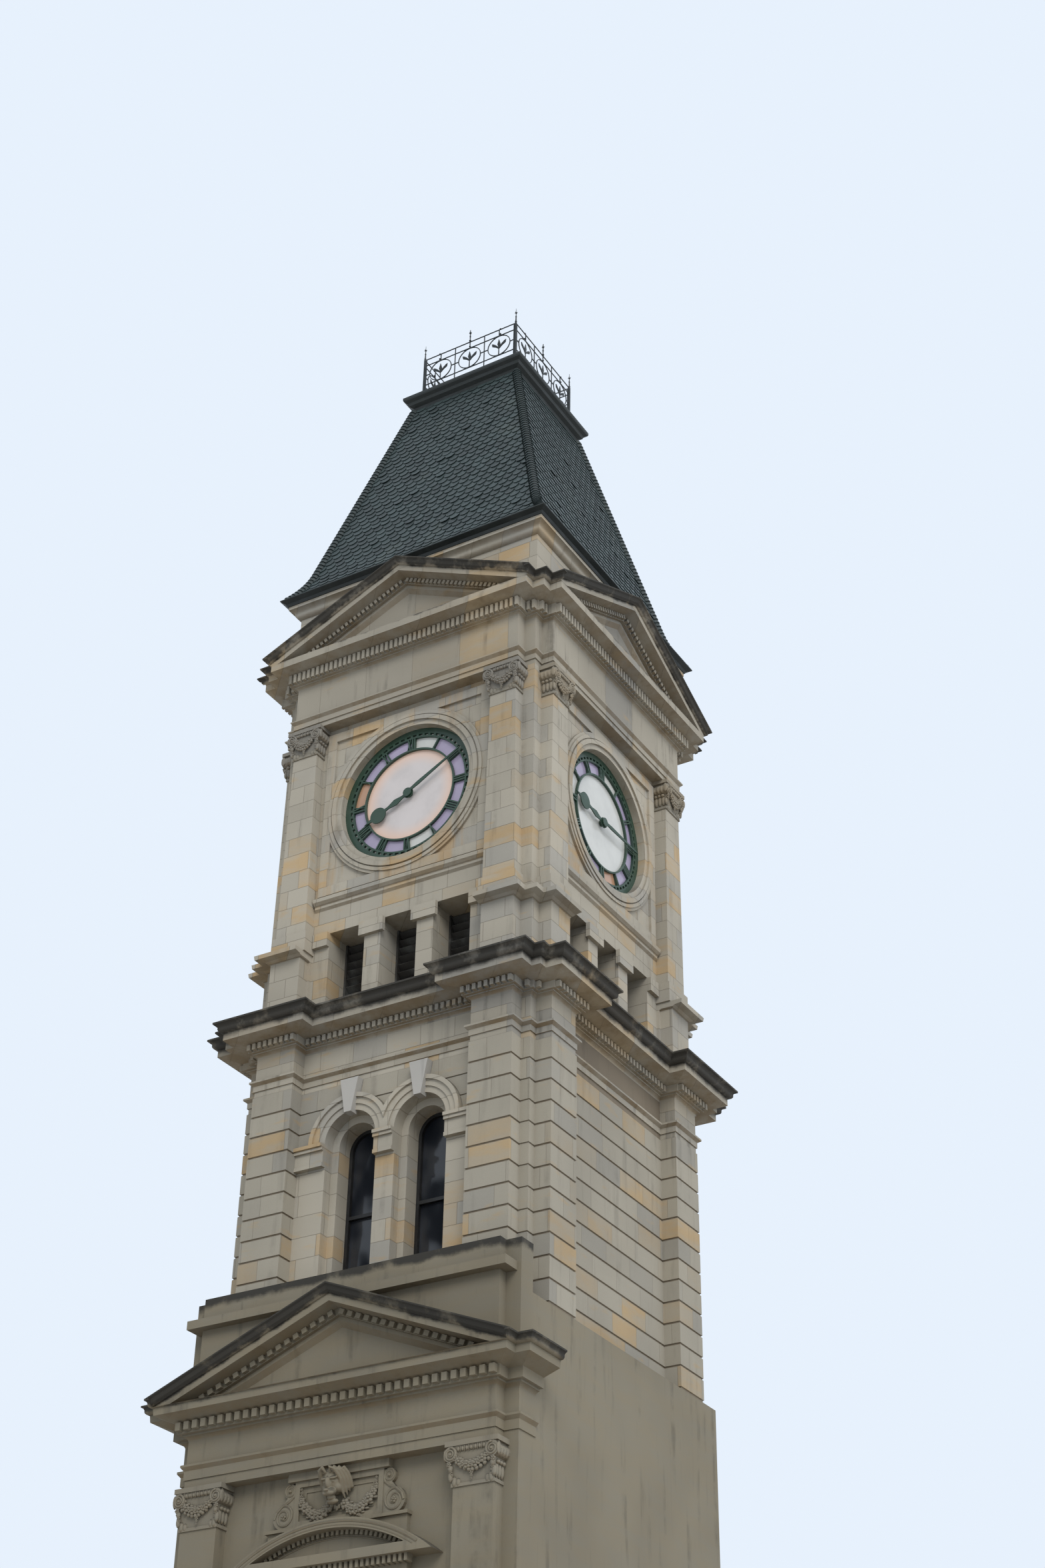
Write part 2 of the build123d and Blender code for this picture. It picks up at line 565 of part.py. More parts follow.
# Tablet over the window: a sunk panel on a ledge between two scrolled brackets
panel_head = PAVILION_SOFFIT - 110
with BuildPart() as cartouche_panel:
    with BuildSketch(Plane.XZ.offset(BASE_FRONT)):
        with Locations((0, (PANEL_BOTTOM + PAVILION_SOFFIT) / 2)):
            Rectangle(2 * PANEL_HALF, PAVILION_SOFFIT - PANEL_BOTTOM)
    extrude(amount=PANEL_STAND)
    with BuildSketch(Plane.XZ.offset(BASE_FRONT + PANEL_STAND)):
        with Locations((0, (PANEL_BOTTOM + panel_head) / 2)):
            Rectangle(2 * PANEL_HALF - 160, panel_head - PANEL_BOTTOM - 160)
    extrude(amount=-35, mode=Mode.SUBTRACT)
    with Locations((0, -BASE_FRONT, panel_head)):
        Box(2 * PANEL_HALF + 200, PANEL_STAND + 40, 110, align=(Align.CENTER, Align.MAX, Align.MIN))
    with BuildSketch(Plane.XZ.offset(BASE_FRONT)):
        for side in (-1, 1):
            with Locations((side * (PANEL_HALF + 85), panel_head - 105)):
                RegularPolygon(100, 16)
            with Locations((side * (PANEL_HALF + 175), PANEL_BOTTOM + 175)):
                RegularPolygon(175, 20)
            Polygon((side * PANEL_HALF, PANEL_BOTTOM), (side * (PANEL_HALF + 175), PANEL_BOTTOM),
                    (side * (PANEL_HALF + 330), PANEL_BOTTOM + 200),
                    (side * (PANEL_HALF + 60), panel_head - 120), (side * PANEL_HALF, panel_head),
                    align=None)
    extrude(amount=PANEL_STAND - 15)
    with Locations((0, -BASE_FRONT, PANEL_BOTTOM)):
        Box(2 * LEDGE_HALF + 60, PANEL_STAND + 45, 45, align=(Align.CENTER, Align.MAX, Align.MAX))
    with Locations((0, -BASE_FRONT, PANEL_BOTTOM - 45)):
        Box(2 * LEDGE_HALF, PANEL_STAND, 300, align=(Align.CENTER, Align.MAX, Align.MAX))
    add(window_surround.part, mode=Mode.SUBTRACT)
save(cartouche_panel.part, "cartouche_panel")

# Walls of the lower stage; the front and back ones have paired arched windows with two orders
with BuildPart() as shaft_window_walls:
    with BuildSketch(Plane.XZ.offset(SHAFT_HALF)):
        with Locations((0, (DECK_TOP + MID_TOP) / 2)):
            Rectangle(2 * SHAFT_HALF, MID_TOP - DECK_TOP)
        with GridLocations(2 * ARCH_X, 1, 2, 1):
            with Locations((0, (ARCH_SILL + ARCH_SPRING) / 2)):
                Rectangle(2 * ARCH_INNER_RADIUS, ARCH_SPRING - ARCH_SILL, mode=Mode.SUBTRACT)
            with Locations((0, ARCH_SPRING)):
                Circle(ARCH_INNER_RADIUS, mode=Mode.SUBTRACT)
    extrude(amount=-SHAFT_WALL)
    with BuildSketch(Plane.XZ.offset(SHAFT_HALF)):
        with GridLocations(2 * ARCH_X, 1, 2, 1):
            with Locations((0, (ARCH_SILL + ARCH_SPRING) / 2)):
                Rectangle(2 * ARCH_RADIUS, ARCH_SPRING - ARCH_SILL)
            with Locations((0, ARCH_SPRING)):
                Circle(ARCH_RADIUS)
    extrude(amount=-ARCH_ORDER_DEPTH, mode=Mode.SUBTRACT)
    mirror(about=Plane.XZ)
save(shaft_window_walls.part, "shaft_window_walls")

with BuildPart() as shaft_side_walls:
    for side in (-1, 1):
        with Locations((side * (SHAFT_HALF - SHAFT_WALL / 2), 0, DECK_TOP)):
            Box(SHAFT_WALL, 2 * shaft_inner, MID_TOP - DECK_TOP,
                align=(Align.CENTER, Align.CENTER, Align.MIN))
save(shaft_side_walls.part, "shaft_side_walls")

# Two rusticated piers on each corner of the shaft
pier_middle = SHAFT_HALF - PIER_STEP - PIER_WIDTH / 2
bay_half = SHAFT_HALF - PIER_STEP - PIER_WIDTH
with BuildPart() as rusticated_piers:
    with PolarLocations(0, 4, start_angle=0):
        with Locations((pier_middle, -SHAFT_HALF, DECK_TOP), (-pier_middle, -SHAFT_HALF, DECK_TOP)):
            Box(PIER_WIDTH, PIER_STAND, SHAFT_HEIGHT, align=(Align.CENTER, Align.MAX, Align.MIN))
save(rusticated_piers.part, "rusticated_piers")

# Archivolts, keystones and imposts of the paired windows
with BuildPart() as window_arches:
    for width, stand in ((ARCHIVOLT_WIDTH, ARCHIVOLT_STAND + 35), (0.74 * ARCHIVOLT_WIDTH, ARCHIVOLT_STAND),
                         (0.36 * ARCHIVOLT_WIDTH, ARCHIVOLT_STAND - 25)):
        with BuildSketch(Plane.XZ.offset(SHAFT_HALF)):
            with GridLocations(2 * ARCH_X, 1, 2, 1):
                with Locations((0, ARCH_SPRING)):
                    Circle(ARCH_RADIUS + width)
            with Locations((0, ARCH_SPRING)):
                Rectangle(6 * ARCH_X, 3 * ARCH_X, align=(Align.CENTER, Align.MAX), mode=Mode.SUBTRACT)
        if width < ARCHIVOLT_WIDTH:
            extrude(amount=2 * IMPOST_STAND, mode=Mode.SUBTRACT)
        with BuildSketch(Plane.XZ.offset(SHAFT_HALF)):
            with GridLocations(2 * ARCH_X, 1, 2, 1):
                with Locations((0, ARCH_SPRING)):
                    Circle(ARCH_RADIUS + width)
            with Locations((0, ARCH_SPRING)):
                Rectangle(6 * ARCH_X, 3 * ARCH_X, align=(Align.CENTER, Align.MAX), mode=Mode.SUBTRACT)
            with GridLocations(2 * ARCH_X, 1, 2, 1):
                with Locations((0, ARCH_SPRING)):
                    Circle(ARCH_RADIUS, mode=Mode.SUBTRACT)
        extrude(amount=stand)
    with BuildSketch(Plane.XZ.offset(SHAFT_HALF)):
        with GridLocations(2 * ARCH_X, 1, 2, 1):
            with BuildLine():
                Polyline((-62, ARCH_SPRING + ARCH_RADIUS - 60), (62, ARCH_SPRING + ARCH_RADIUS - 60),
                         (165, STRING_BOTTOM), (-165, STRING_BOTTOM), close=True)
            make_face()
    extrude(amount=IMPOST_STAND + 60)
    for low, high in ((-ARCH_X + ARCH_RADIUS, ARCH_X - ARCH_RADIUS), (ARCH_X + ARCH_RADIUS, bay_half),
                      (-bay_half, -ARCH_X - ARCH_RADIUS)):
        middle = (low + high) / 2
        with Locations((middle, -SHAFT_HALF, IMPOST_BOTTOM)):
            Box(high - low, IMPOST_STAND - 20, IMPOST_HEIGHT, align=(Align.CENTER, Align.MAX, Align.MIN))
            Box(high - low, IMPOST_STAND, 60, align=(Align.CENTER, Align.MAX, Align.MIN))
        with Locations((middle, -SHAFT_HALF, ARCH_SPRING)):
            Box(high - low, IMPOST_STAND + 45, 110, align=(Align.CENTER, Align.MAX, Align.MAX))
    mirror(about=Plane.XZ)
save(window_arches.part, "window_arches")


def arched_sash(radius, sill, spring, bar):
    """Frame of an arched sash window with its meeting rail, drawn in the XZ plane."""
    with BuildSketch() as sketch:
        with Locations((0, (sill + spring) / 2)):
            Rectangle(2 * radius, spring - sill)
        with Locations((0, spring)):
            Circle(radius)
        with Locations((0, (sill + bar + spring) / 2)):
            Rectangle(2 * (radius - bar), spring - sill - bar, mode=Mode.SUBTRACT)
        with Locations((0, spring)):
            Circle(radius - bar, mode=Mode.SUBTRACT)
        with Locations((0, sill + 0.46 * (spring + radius - sill))):
            Rectangle(2 * radius, bar)
    return sketch.sketch


# Sash frames and the glass behind them
sash_face = SHAFT_HALF - SASH_SET_BACK
with BuildPart() as window_sashes:
    with BuildSketch(Plane.XZ.offset(sash_face)):
        with GridLocations(2 * ARCH_X, 1, 2, 1):
            add(arched_sash(ARCH_INNER_RADIUS, ARCH_SILL, ARCH_SPRING, SASH_BAR))
    extrude(amount=-SASH_DEPTH)
    mirror(about=Plane.XZ)
    with BuildSketch(Plane.XZ.offset(BASE_FRONT - 300)):
        with Locations((0, (WINDOW_BOTTOM + WINDOW_TOP) / 2)):
            Rectangle(2 * WINDOW_HALF, WINDOW_TOP - WINDOW_BOTTOM)
            Rectangle(2 * WINDOW_HALF - 140, WINDOW_TOP - WINDOW_BOTTOM - 140, mode=Mode.SUBTRACT)
            Rectangle(2 * WINDOW_HALF, 70)
    extrude(amount=-SASH_DEPTH)
    with BuildSketch(Plane.XZ.offset(-BASE_HALF + 300)):
        with Locations((0, (WINDOW_BOTTOM + WINDOW_TOP) / 2)):
            Rectangle(2 * WINDOW_HALF, WINDOW_TOP - WINDOW_BOTTOM)
            Rectangle(2 * WINDOW_HALF - 140, WINDOW_TOP - WINDOW_BOTTOM - 140, mode=Mode.SUBTRACT)
            Rectangle(2 * WINDOW_HALF, 70)
    extrude(amount=SASH_DEPTH)
save(window_sashes.part, "window_sashes")

with BuildPart() as window_glass:
    with BuildSketch(Plane.XZ.offset(sash_face - SASH_DEPTH)):
        with GridLocations(2 * ARCH_X, 1, 2, 1):
            with Locations((0, (ARCH_SILL + ARCH_SPRING) / 2)):
                Rectangle(2 * ARCH_INNER_RADIUS, ARCH_SPRING - ARCH_SILL)
            with Locations((0, ARCH_SPRING)):
                Circle(ARCH_INNER_RADIUS)
    extrude(amount=-GLASS)
    mirror(about=Plane.XZ)
    for face, way in ((BASE_FRONT - 300 - SASH_DEPTH, -1), (-(BASE_HALF - 300 - SASH_DEPTH), 1)):
        with BuildSketch(Plane.XZ.offset(face)):
            with Locations((0, (WINDOW_BOTTOM + WINDOW_TOP) / 2)):
                Rectangle(2 * WINDOW_HALF, WINDOW_TOP - WINDOW_BOTTOM)
        extrude(amount=way * GLASS)
save(window_glass.part, "window_glass")

# Mid entablature: string, frieze blocks over the piers, and the heavy cornice breaking over them
mid_plan = corner_plan(SHAFT_HALF, PIER_STEP, PIER_STAND, PIER_WIDTH)
mid_outline = [(-PIER_STAND, STRING_BOTTOM), (0, STRING_BOTTOM), (0, STRING_BOTTOM + 95),
               (20, STRING_BOTTOM + 95), (20, STRING_BOTTOM + 190), (72, MID_FRIEZE - 30), (72, MID_FRIEZE),
               (0, MID_FRIEZE), (0, MID_BED), (60, MID_BED + 60, -18), (60, MID_BED + 80),
               (110, MID_BED + 80), (110, MID_CORONA - 55),
               (390, MID_CORONA), (406, MID_CORONA), (406, MID_TOP - 160), (430, MID_TOP - 160)]
mid_outline += cyma((430, MID_TOP - 160), (530, MID_TOP - 30), 16)
mid_outline += [(540, MID_TOP - 30), (540, MID_TOP), (-PIER_STAND, MID_TOP)]
with BuildPart() as mid_entablature:
    add(swept_moulding(closed_path(mid_plan), SHAFT_HALF, mid_outline))
    with Locations((0, 0, STRING_BOTTOM - 10)):
        Box(2 * SHAFT_HALF, 2 * SHAFT_HALF, 2 * (MID_TOP - STRING_BOTTOM),
            align=(Align.CENTER, Align.CENTER, Align.MIN), mode=Mode.SUBTRACT)
save(mid_entablature.part, "mid_entablature")

# Low wall under the louvred openings
with BuildPart() as louvre_sill_course:
    with BuildSketch(Plane.XY.offset(MID_TOP)):
        Rectangle(2 * CLOCK_HALF, 2 * CLOCK_HALF)
        Rectangle(2 * clock_inner, 2 * clock_inner, mode=Mode.SUBTRACT)
    extrude(amount=LOUVRE_SILL - MID_TOP)
save(louvre_sill_course.part, "louvre_sill_course")

# Corner blocks of the louvre stage
louvre_block = CLOCK_HALF - LOUVRE_END_X
with BuildPart() as louvre_corners:
    with GridLocations(CLOCK_HALF + LOUVRE_END_X, CLOCK_HALF + LOUVRE_END_X, 2, 2):
        with Locations((0, 0, LOUVRE_SILL)):
            Box(louvre_block, louvre_block, LOUVRE_HEAD - LOUVRE_SILL,
                align=(Align.CENTER, Align.CENTER, Align.MIN))
    with PolarLocations(0, 4):
        for side, align in ((-1, Align.MAX), (1, Align.MIN)):
            with Locations((side * LOUVRE_END_X, -CLOCK_HALF, LOUVRE_HEAD)):
                Box(LOUVRE_PIER_WIDTH - 30, 75, 250, align=(align, Align.MAX, Align.MAX))
save(louvre_corners.part, "louvre_corners")

# Piers between the louvred openings, with their caps
with BuildPart() as louvre_piers:
    with PolarLocations(0, 4):
        for pier_x in (-LOUVRE_PIER_X, LOUVRE_PIER_X):
            with Locations((pier_x, -CLOCK_HALF, LOUVRE_SILL)):
                Box(LOUVRE_PIER_WIDTH, CLOCK_WALL, LOUVRE_HEAD - LOUVRE_SILL,
                    align=(Align.CENTER, Align.MIN, Align.MIN))
            with Locations((pier_x, -CLOCK_HALF, LOUVRE_HEAD)):
                Box(LOUVRE_PIER_WIDTH + 150, 75, 250, align=(Align.CENTER, Align.MAX, Align.MAX))
save(louvre_piers.part, "louvre_piers")

# Louvres, set back in the openings: sloping blades between two stiles
bay_pitch = LOUVRE_WIDTH + LOUVRE_PIER_WIDTH
blade_count = int((LOUVRE_HEAD - LOUVRE_SILL) // LOUVRE_PITCH)
with BuildPart() as louvre_blades:
    with PolarLocations(0, 4):
        for x in (-bay_pitch, 0, bay_pitch):
            for index in range(blade_count):
                level = LOUVRE_SILL + LOUVRE_PITCH * (index + 0.5)
                with Locations(Location((x, -CLOCK_HALF + LOUVRE_SET_BACK - 50, level), (-40, 0, 0))):
                    Box(LOUVRE_WIDTH - LOUVRE_STILE, 130, LOUVRE_BLADE)
            for end in (x - (LOUVRE_WIDTH - LOUVRE_STILE) / 2, x + (LOUVRE_WIDTH - LOUVRE_STILE) / 2):
                with Locations((end, -CLOCK_HALF + LOUVRE_SET_BACK - 50, LOUVRE_SILL)):
                    Box(LOUVRE_STILE, 150, LOUVRE_HEAD - LOUVRE_SILL,
                        align=(Align.CENTER, Align.CENTER, Align.MIN))
save(louvre_blades.part, "louvre_blades")

# Pedestals under the corner pilasters
pedestal_plan = corner_plan(PEDESTAL_HALF, PILASTER_STEP, PILASTER_STAND, PEDESTAL_WIDTH - PILASTER_STEP)
pedestal_outline = [(-PILASTER_STAND, MID_TOP), (45, MID_TOP), (45, MID_TOP + 180), (0, MID_TOP + 215),
                    (0, PEDESTAL_CAP), (70, PEDESTAL_CAP + 45), (190, PEDESTAL_CAP + 60),
                    (200, PEDESTAL_TOP), (-PILASTER_STAND, PEDESTAL_TOP)]
with BuildPart() as corner_pedestals:
    add(swept_moulding(closed_path(pedestal_plan), PEDESTAL_HALF, pedestal_outline))
    with Locations((0, 0, MID_TOP - 10)):
        Box(2 * CLOCK_HALF, 2 * CLOCK_HALF, 2 * (PEDESTAL_TOP - MID_TOP),
            align=(Align.CENTER, Align.CENTER, Align.MIN), mode=Mode.SUBTRACT)
        opening = 2 * (PEDESTAL_HALF - PEDESTAL_WIDTH) - 80
        Box(opening, 8 * PEDESTAL_HALF, 2 * (PEDESTAL_TOP - MID_TOP),
            align=(Align.CENTER, Align.CENTER, Align.MIN), mode=Mode.SUBTRACT)
        Box(8 * PEDESTAL_HALF, opening, 2 * (PEDESTAL_TOP - MID_TOP),
            align=(Align.CENTER, Align.CENTER, Align.MIN), mode=Mode.SUBTRACT)
save(corner_pedestals.part, "corner_pedestals")

# Band over the openings and the moulded sill between the pilasters
sill_outline = [(0, SILL_MOULDING), (40, SILL_MOULDING + 40), (40, SILL_MOULDING + 80), (100, SILL_TOP - 60),
                (110, SILL_TOP), (-40, SILL_TOP), (-40, SILL_MOULDING - 40), (0, SILL_MOULDING - 40)]
SILL_HALF = CLOCK_HALF - PILASTER_STEP - PILASTER_WIDTH_BOTTOM
with BuildPart() as dial_sill:
    with BuildSketch(Plane.YZ.offset(-SILL_HALF)):
        with BuildLine():
            Polyline(*[(-(CLOCK_HALF + stand), level) for stand, level in sill_outline], close=True)
        make_face()
    extrude(amount=2 * SILL_HALF)
with BuildPart() as louvre_band:
    with BuildSketch(Plane.XY.offset(LOUVRE_HEAD)):
        Rectangle(2 * CLOCK_HALF, 2 * CLOCK_HALF)
        Rectangle(2 * clock_inner, 2 * clock_inner, mode=Mode.SUBTRACT)
    extrude(amount=SILL_TOP - LOUVRE_HEAD)
    add(around(dial_sill.part))
save(louvre_band.part, "louvre_band")

# Walls of the clock stage, each with the round hole of its dial
with BuildPart() as clock_walls_front_back:
    with BuildSketch(Plane.XZ.offset(CLOCK_HALF)):
        with Locations((0, (SILL_TOP + CLOCK_SOFFIT) / 2)):
            Rectangle(2 * CLOCK_HALF, CLOCK_SOFFIT - SILL_TOP)
        with Locations((0, DIAL_Z)):
            Circle(DIAL_HOLE, mode=Mode.SUBTRACT)
    extrude(amount=-CLOCK_WALL)
    mirror(about=Plane.XZ)
    with BuildSketch(Plane.XZ.offset(CLOCK_HALF)):
        with Locations((0, DIAL_Z)):
            Circle(DIAL_RADIUS)
    extrude(amount=-DIAL_SET_BACK - DIAL_DEPTH, mode=Mode.SUBTRACT)
    with BuildSketch(Plane.XZ.offset(-CLOCK_HALF)):
        with Locations((0, DIAL_Z)):
            Circle(DIAL_RADIUS)
    extrude(amount=DIAL_SET_BACK + DIAL_DEPTH, mode=Mode.SUBTRACT)
save(clock_walls_front_back.part, "clock_walls_front_back")

with BuildPart() as clock_walls_sides:
    with BuildSketch(Plane.YZ.offset(CLOCK_HALF)):
        with Locations((0, (SILL_TOP + CLOCK_SOFFIT) / 2)):
            Rectangle(2 * clock_inner, CLOCK_SOFFIT - SILL_TOP)
        with Locations((0, DIAL_Z)):
            Circle(DIAL_HOLE, mode=Mode.SUBTRACT)
    extrude(amount=-CLOCK_WALL)
    mirror(about=Plane.YZ)
    with BuildSketch(Plane.YZ.offset(CLOCK_HALF)):
        with Locations((0, DIAL_Z)):
            Circle(DIAL_RADIUS)
    extrude(amount=-DIAL_SET_BACK - DIAL_DEPTH, mode=Mode.SUBTRACT)
    with BuildSketch(Plane.YZ.offset(-CLOCK_HALF)):
        with Locations((0, DIAL_Z)):
            Circle(DIAL_RADIUS)
    extrude(amount=DIAL_SET_BACK + DIAL_DEPTH, mode=Mode.SUBTRACT)
save(clock_walls_sides.part, "clock_walls_sides")

# Moulded rings round the dials, in square borders with sunk corners
with BuildPart() as dial_surround_front:
    with BuildSketch(Plane.XZ.offset(CLOCK_HALF)):
        with Locations((0, DIAL_Z)):
            Rectangle(2 * SURROUND_HALF, 2 * SURROUND_HALF)
            sunk = 2 * (SURROUND_HALF - SURROUND_BORDER)
            Rectangle(sunk, sunk, mode=Mode.SUBTRACT)
            Circle(SURROUND_RADIUS)
            Circle(DIAL_RADIUS, mode=Mode.SUBTRACT)
    extrude(amount=SURROUND_STAND)
    for outer, inner, stand in ((SURROUND_RADIUS - 50, SURROUND_RADIUS - 110, 22),
                                (SURROUND_RADIUS - 130, SURROUND_RADIUS - 210, 36)):
        with BuildSketch(Plane.XZ.offset(CLOCK_HALF + SURROUND_STAND)):
            with Locations((0, DIAL_Z)):
                Circle(outer)
                Circle(inner, mode=Mode.SUBTRACT)
        extrude(amount=stand)
with BuildPart() as dial_surrounds:
    add(around(dial_surround_front.part))
save(dial_surrounds.part, "dial_surrounds")

# Pilasters on both sides of each corner, drawn in slightly towards the top
pilaster_middle = CLOCK_HALF - PILASTER_STEP - PILASTER_WIDTH_BOTTOM / 2 + 26
with BuildPart() as clock_pilaster:
    for level, width in ((PEDESTAL_TOP + 360, PILASTER_WIDTH_BOTTOM), (CAPITAL_BOTTOM, PILASTER_WIDTH_TOP)):
        with BuildSketch(Plane.XY.offset(level)):
            with Locations((pilaster_middle, -CLOCK_HALF)):
                Rectangle(width, PILASTER_STAND, align=(Align.CENTER, Align.MAX))
    loft(ruled=True)
    with Locations((pilaster_middle, -CLOCK_HALF, PEDESTAL_TOP)):
        Box(PILASTER_WIDTH_BOTTOM + 90, PILASTER_STAND + 45, 360, align=(Align.CENTER, Align.MAX, Align.MIN))
    mirror(about=Plane.YZ)
with BuildPart() as clock_pilasters:
    add(around(clock_pilaster.part))
save(clock_pilasters.part, "clock_pilasters")

with BuildPart() as clock_capital:
    with BuildSketch(Plane.XY.offset(CAPITAL_BOTTOM)):
        with Locations((pilaster_middle, -CLOCK_HALF)):
            Rectangle(PILASTER_WIDTH_TOP + 40, PILASTER_STAND + 20, align=(Align.CENTER, Align.MAX))
    extrude(amount=45)
    with BuildSketch(Plane.XY.offset(CAPITAL_BOTTOM + 45)):
        with Locations((pilaster_middle, -CLOCK_HALF)):
            Rectangle(PILASTER_WIDTH_TOP, PILASTER_STAND, align=(Align.CENTER, Align.MAX))
    with BuildSketch(Plane.XY.offset(CLOCK_SOFFIT - 70)):
        with Locations((pilaster_middle, -CLOCK_HALF)):
            Rectangle(PILASTER_WIDTH_TOP + 110, PILASTER_STAND + 70, align=(Align.CENTER, Align.MAX))
    loft(ruled=True)
    with BuildSketch(Plane.XY.offset(CLOCK_SOFFIT - 70)):
        with Locations((pilaster_middle, -CLOCK_HALF)):
            Rectangle(PILASTER_WIDTH_TOP + 190, PILASTER_STAND + 85, align=(Align.CENTER, Align.MAX))
    extrude(amount=70)
    with BuildSketch(Plane.XZ.offset(CLOCK_HALF)):
        for side in (-1, 1):
            volute_x = pilaster_middle + side * (PILASTER_WIDTH_TOP / 2 + 5)
            with Locations((volute_x, CLOCK_SOFFIT - 70 - VOLUTE_RADIUS)):
                RegularPolygon(VOLUTE_RADIUS, 14)
    extrude(amount=PILASTER_STAND + 80)
    mirror(about=Plane.YZ)
with BuildPart() as clock_capitals:
    add(around(clock_capital.part))
save(clock_capitals.part, "clock_capitals")


def numeral_strokes(numeral):
    """Outlines of a numeral's strokes, from the inner ring to the track ring, centred on x = 0."""
    foot = DIAL_INNER_RADIUS + DIAL_BAR / 2
    head = DIAL_TRACK_RADIUS - DIAL_BAR / 2
    strokes = []
    x = -sum(LETTER_WIDTH[letter] for letter in numeral) / 2
    for letter in numeral:
        middle = x + LETTER_WIDTH[letter] / 2
        reach = LETTER_WIDTH[letter] / 2 - 14
        legs = {"I": [(0, 0, NUMERAL_THICK)],
                "V": [(0, -reach, NUMERAL_THICK), (0, reach, NUMERAL_THIN)],
                "X": [(reach, -reach, NUMERAL_THICK), (-reach, reach, NUMERAL_THIN)]}[letter]
        for low, high, width in legs:
            strokes.append([(middle + low - width / 2, foot), (middle + low + width / 2, foot),
                            (middle + high + width / 2, head), (middle + high - width / 2, head)])
        x += LETTER_WIDTH[letter]
    return strokes


# Dials: cast rings with the minute bars and the numerals between them, open to the glass behind
def dial_frame():
    with BuildPart() as frame:
        with BuildSketch(Plane.XZ.offset(CLOCK_HALF - DIAL_SET_BACK)):
            with Locations((0, DIAL_Z)):
                Circle(DIAL_RADIUS)
                Circle(DIAL_RADIUS - DIAL_RING, mode=Mode.SUBTRACT)
                Circle(DIAL_TRACK_RADIUS)
                Circle(DIAL_TRACK_RADIUS - DIAL_BAR, mode=Mode.SUBTRACT)
                Circle(DIAL_INNER_RADIUS + DIAL_BAR)
                Circle(DIAL_INNER_RADIUS, mode=Mode.SUBTRACT)
                with PolarLocations((DIAL_TRACK_RADIUS + DIAL_RADIUS - DIAL_RING) / 2, 60):
                    Rectangle(DIAL_RADIUS - DIAL_RING - DIAL_TRACK_RADIUS + 16, MINUTE_BAR)
            for hour, numeral in enumerate(NUMERALS):
                with Locations(Location((0, DIAL_Z, 0), (0, 0, -30 * hour))):
                    for stroke in numeral_strokes(numeral):
                        Polygon(*stroke, align=None)
        extrude(amount=-DIAL_DEPTH)
    return frame.part


with BuildPart() as dial_frames:
    add(around(dial_frame()))
save(dial_frames.part, "dial_frames")

with BuildPart() as dial_pane:
    with BuildSketch(Plane.XZ.offset(CLOCK_HALF - DIAL_SET_BACK - DIAL_DEPTH)):
        with Locations((0, DIAL_Z)):
            Circle(DIAL_HOLE)
    extrude(amount=-GLASS)
with BuildPart() as dial_glass:
    add(around(dial_pane.part))
save(dial_glass.part, "dial_glass")

# Entablature of the clock stage, carried straight across between the pilasters
clock_plan = corner_plan(CLOCK_HALF, PILASTER_STEP, PILASTER_STAND)
clock_face = CLOCK_HALF + PILASTER_STAND
clock_outline = [(-PILASTER_STAND - 60, CLOCK_SOFFIT), (0, CLOCK_SOFFIT), (0, CLOCK_SOFFIT + 90),
                 (20, CLOCK_SOFFIT + 90), (20, CLOCK_SOFFIT + 185), (65, CLOCK_FRIEZE - 25),
                 (65, CLOCK_FRIEZE), (0, CLOCK_FRIEZE), (0, CLOCK_BED), (55, CLOCK_BED + 55, -16),
                 (55, CLOCK_BED + 75),
                 (110, CLOCK_BED + 75), (110, CLOCK_CORONA - 60), (350, CLOCK_CORONA), (364, CLOCK_CORONA),
                 (364, CLOCK_TOP - 115), (385, CLOCK_TOP - 115)]
clock_outline += cyma((385, CLOCK_TOP - 115), (470, CLOCK_TOP - 25), 12)
clock_outline += [(485, CLOCK_TOP - 25), (485, CLOCK_TOP), (-PILASTER_STAND - 60, CLOCK_TOP)]
with BuildPart() as clock_entablature:
    add(swept_moulding(closed_path(clock_plan), clock_face, clock_outline))
    with BuildSketch(Plane.XY.offset(CLOCK_SOFFIT)):
        Rectangle(2 * CLOCK_HALF, 2 * CLOCK_HALF)
        Rectangle(2 * clock_inner, 2 * clock_inner, mode=Mode.SUBTRACT)
    extrude(amount=CLOCK_TOP - CLOCK_SOFFIT)
    with PolarLocations(0, 4):
        with Locations((0, -clock_face + 60, CLOCK_TOP - CYMA)):
            Box(2 * (CLOCK_HALF - PILASTER_STEP + 385), 800, 2 * CYMA,
                align=(Align.CENTER, Align.MAX, Align.MIN), mode=Mode.SUBTRACT)
save(clock_entablature.part, "clock_entablature")

# Low pediments over the four faces, against the attic wall
clock_corner = CLOCK_HALF - PILASTER_STEP
clock_gable = pediment(clock_face, clock_corner + 485, clock_corner + 385, CLOCK_TOP - CYMA, CLOCK_TOP,
                       CLOCK_APEX, ATTIC_HALF)
with BuildPart() as clock_pediments:
    add(around(clock_gable))
    with Locations((0, 0, ATTIC_CORNICE)):
        Box(2 * ATTIC_HALF + 400, 2 * ATTIC_HALF + 400, CLOCK_APEX - CLOCK_TOP,
            align=(Align.CENTER, Align.CENTER, Align.MIN), mode=Mode.SUBTRACT)
    add(clock_entablature.part, mode=Mode.SUBTRACT)
save(clock_pediments.part, "clock_pediments")

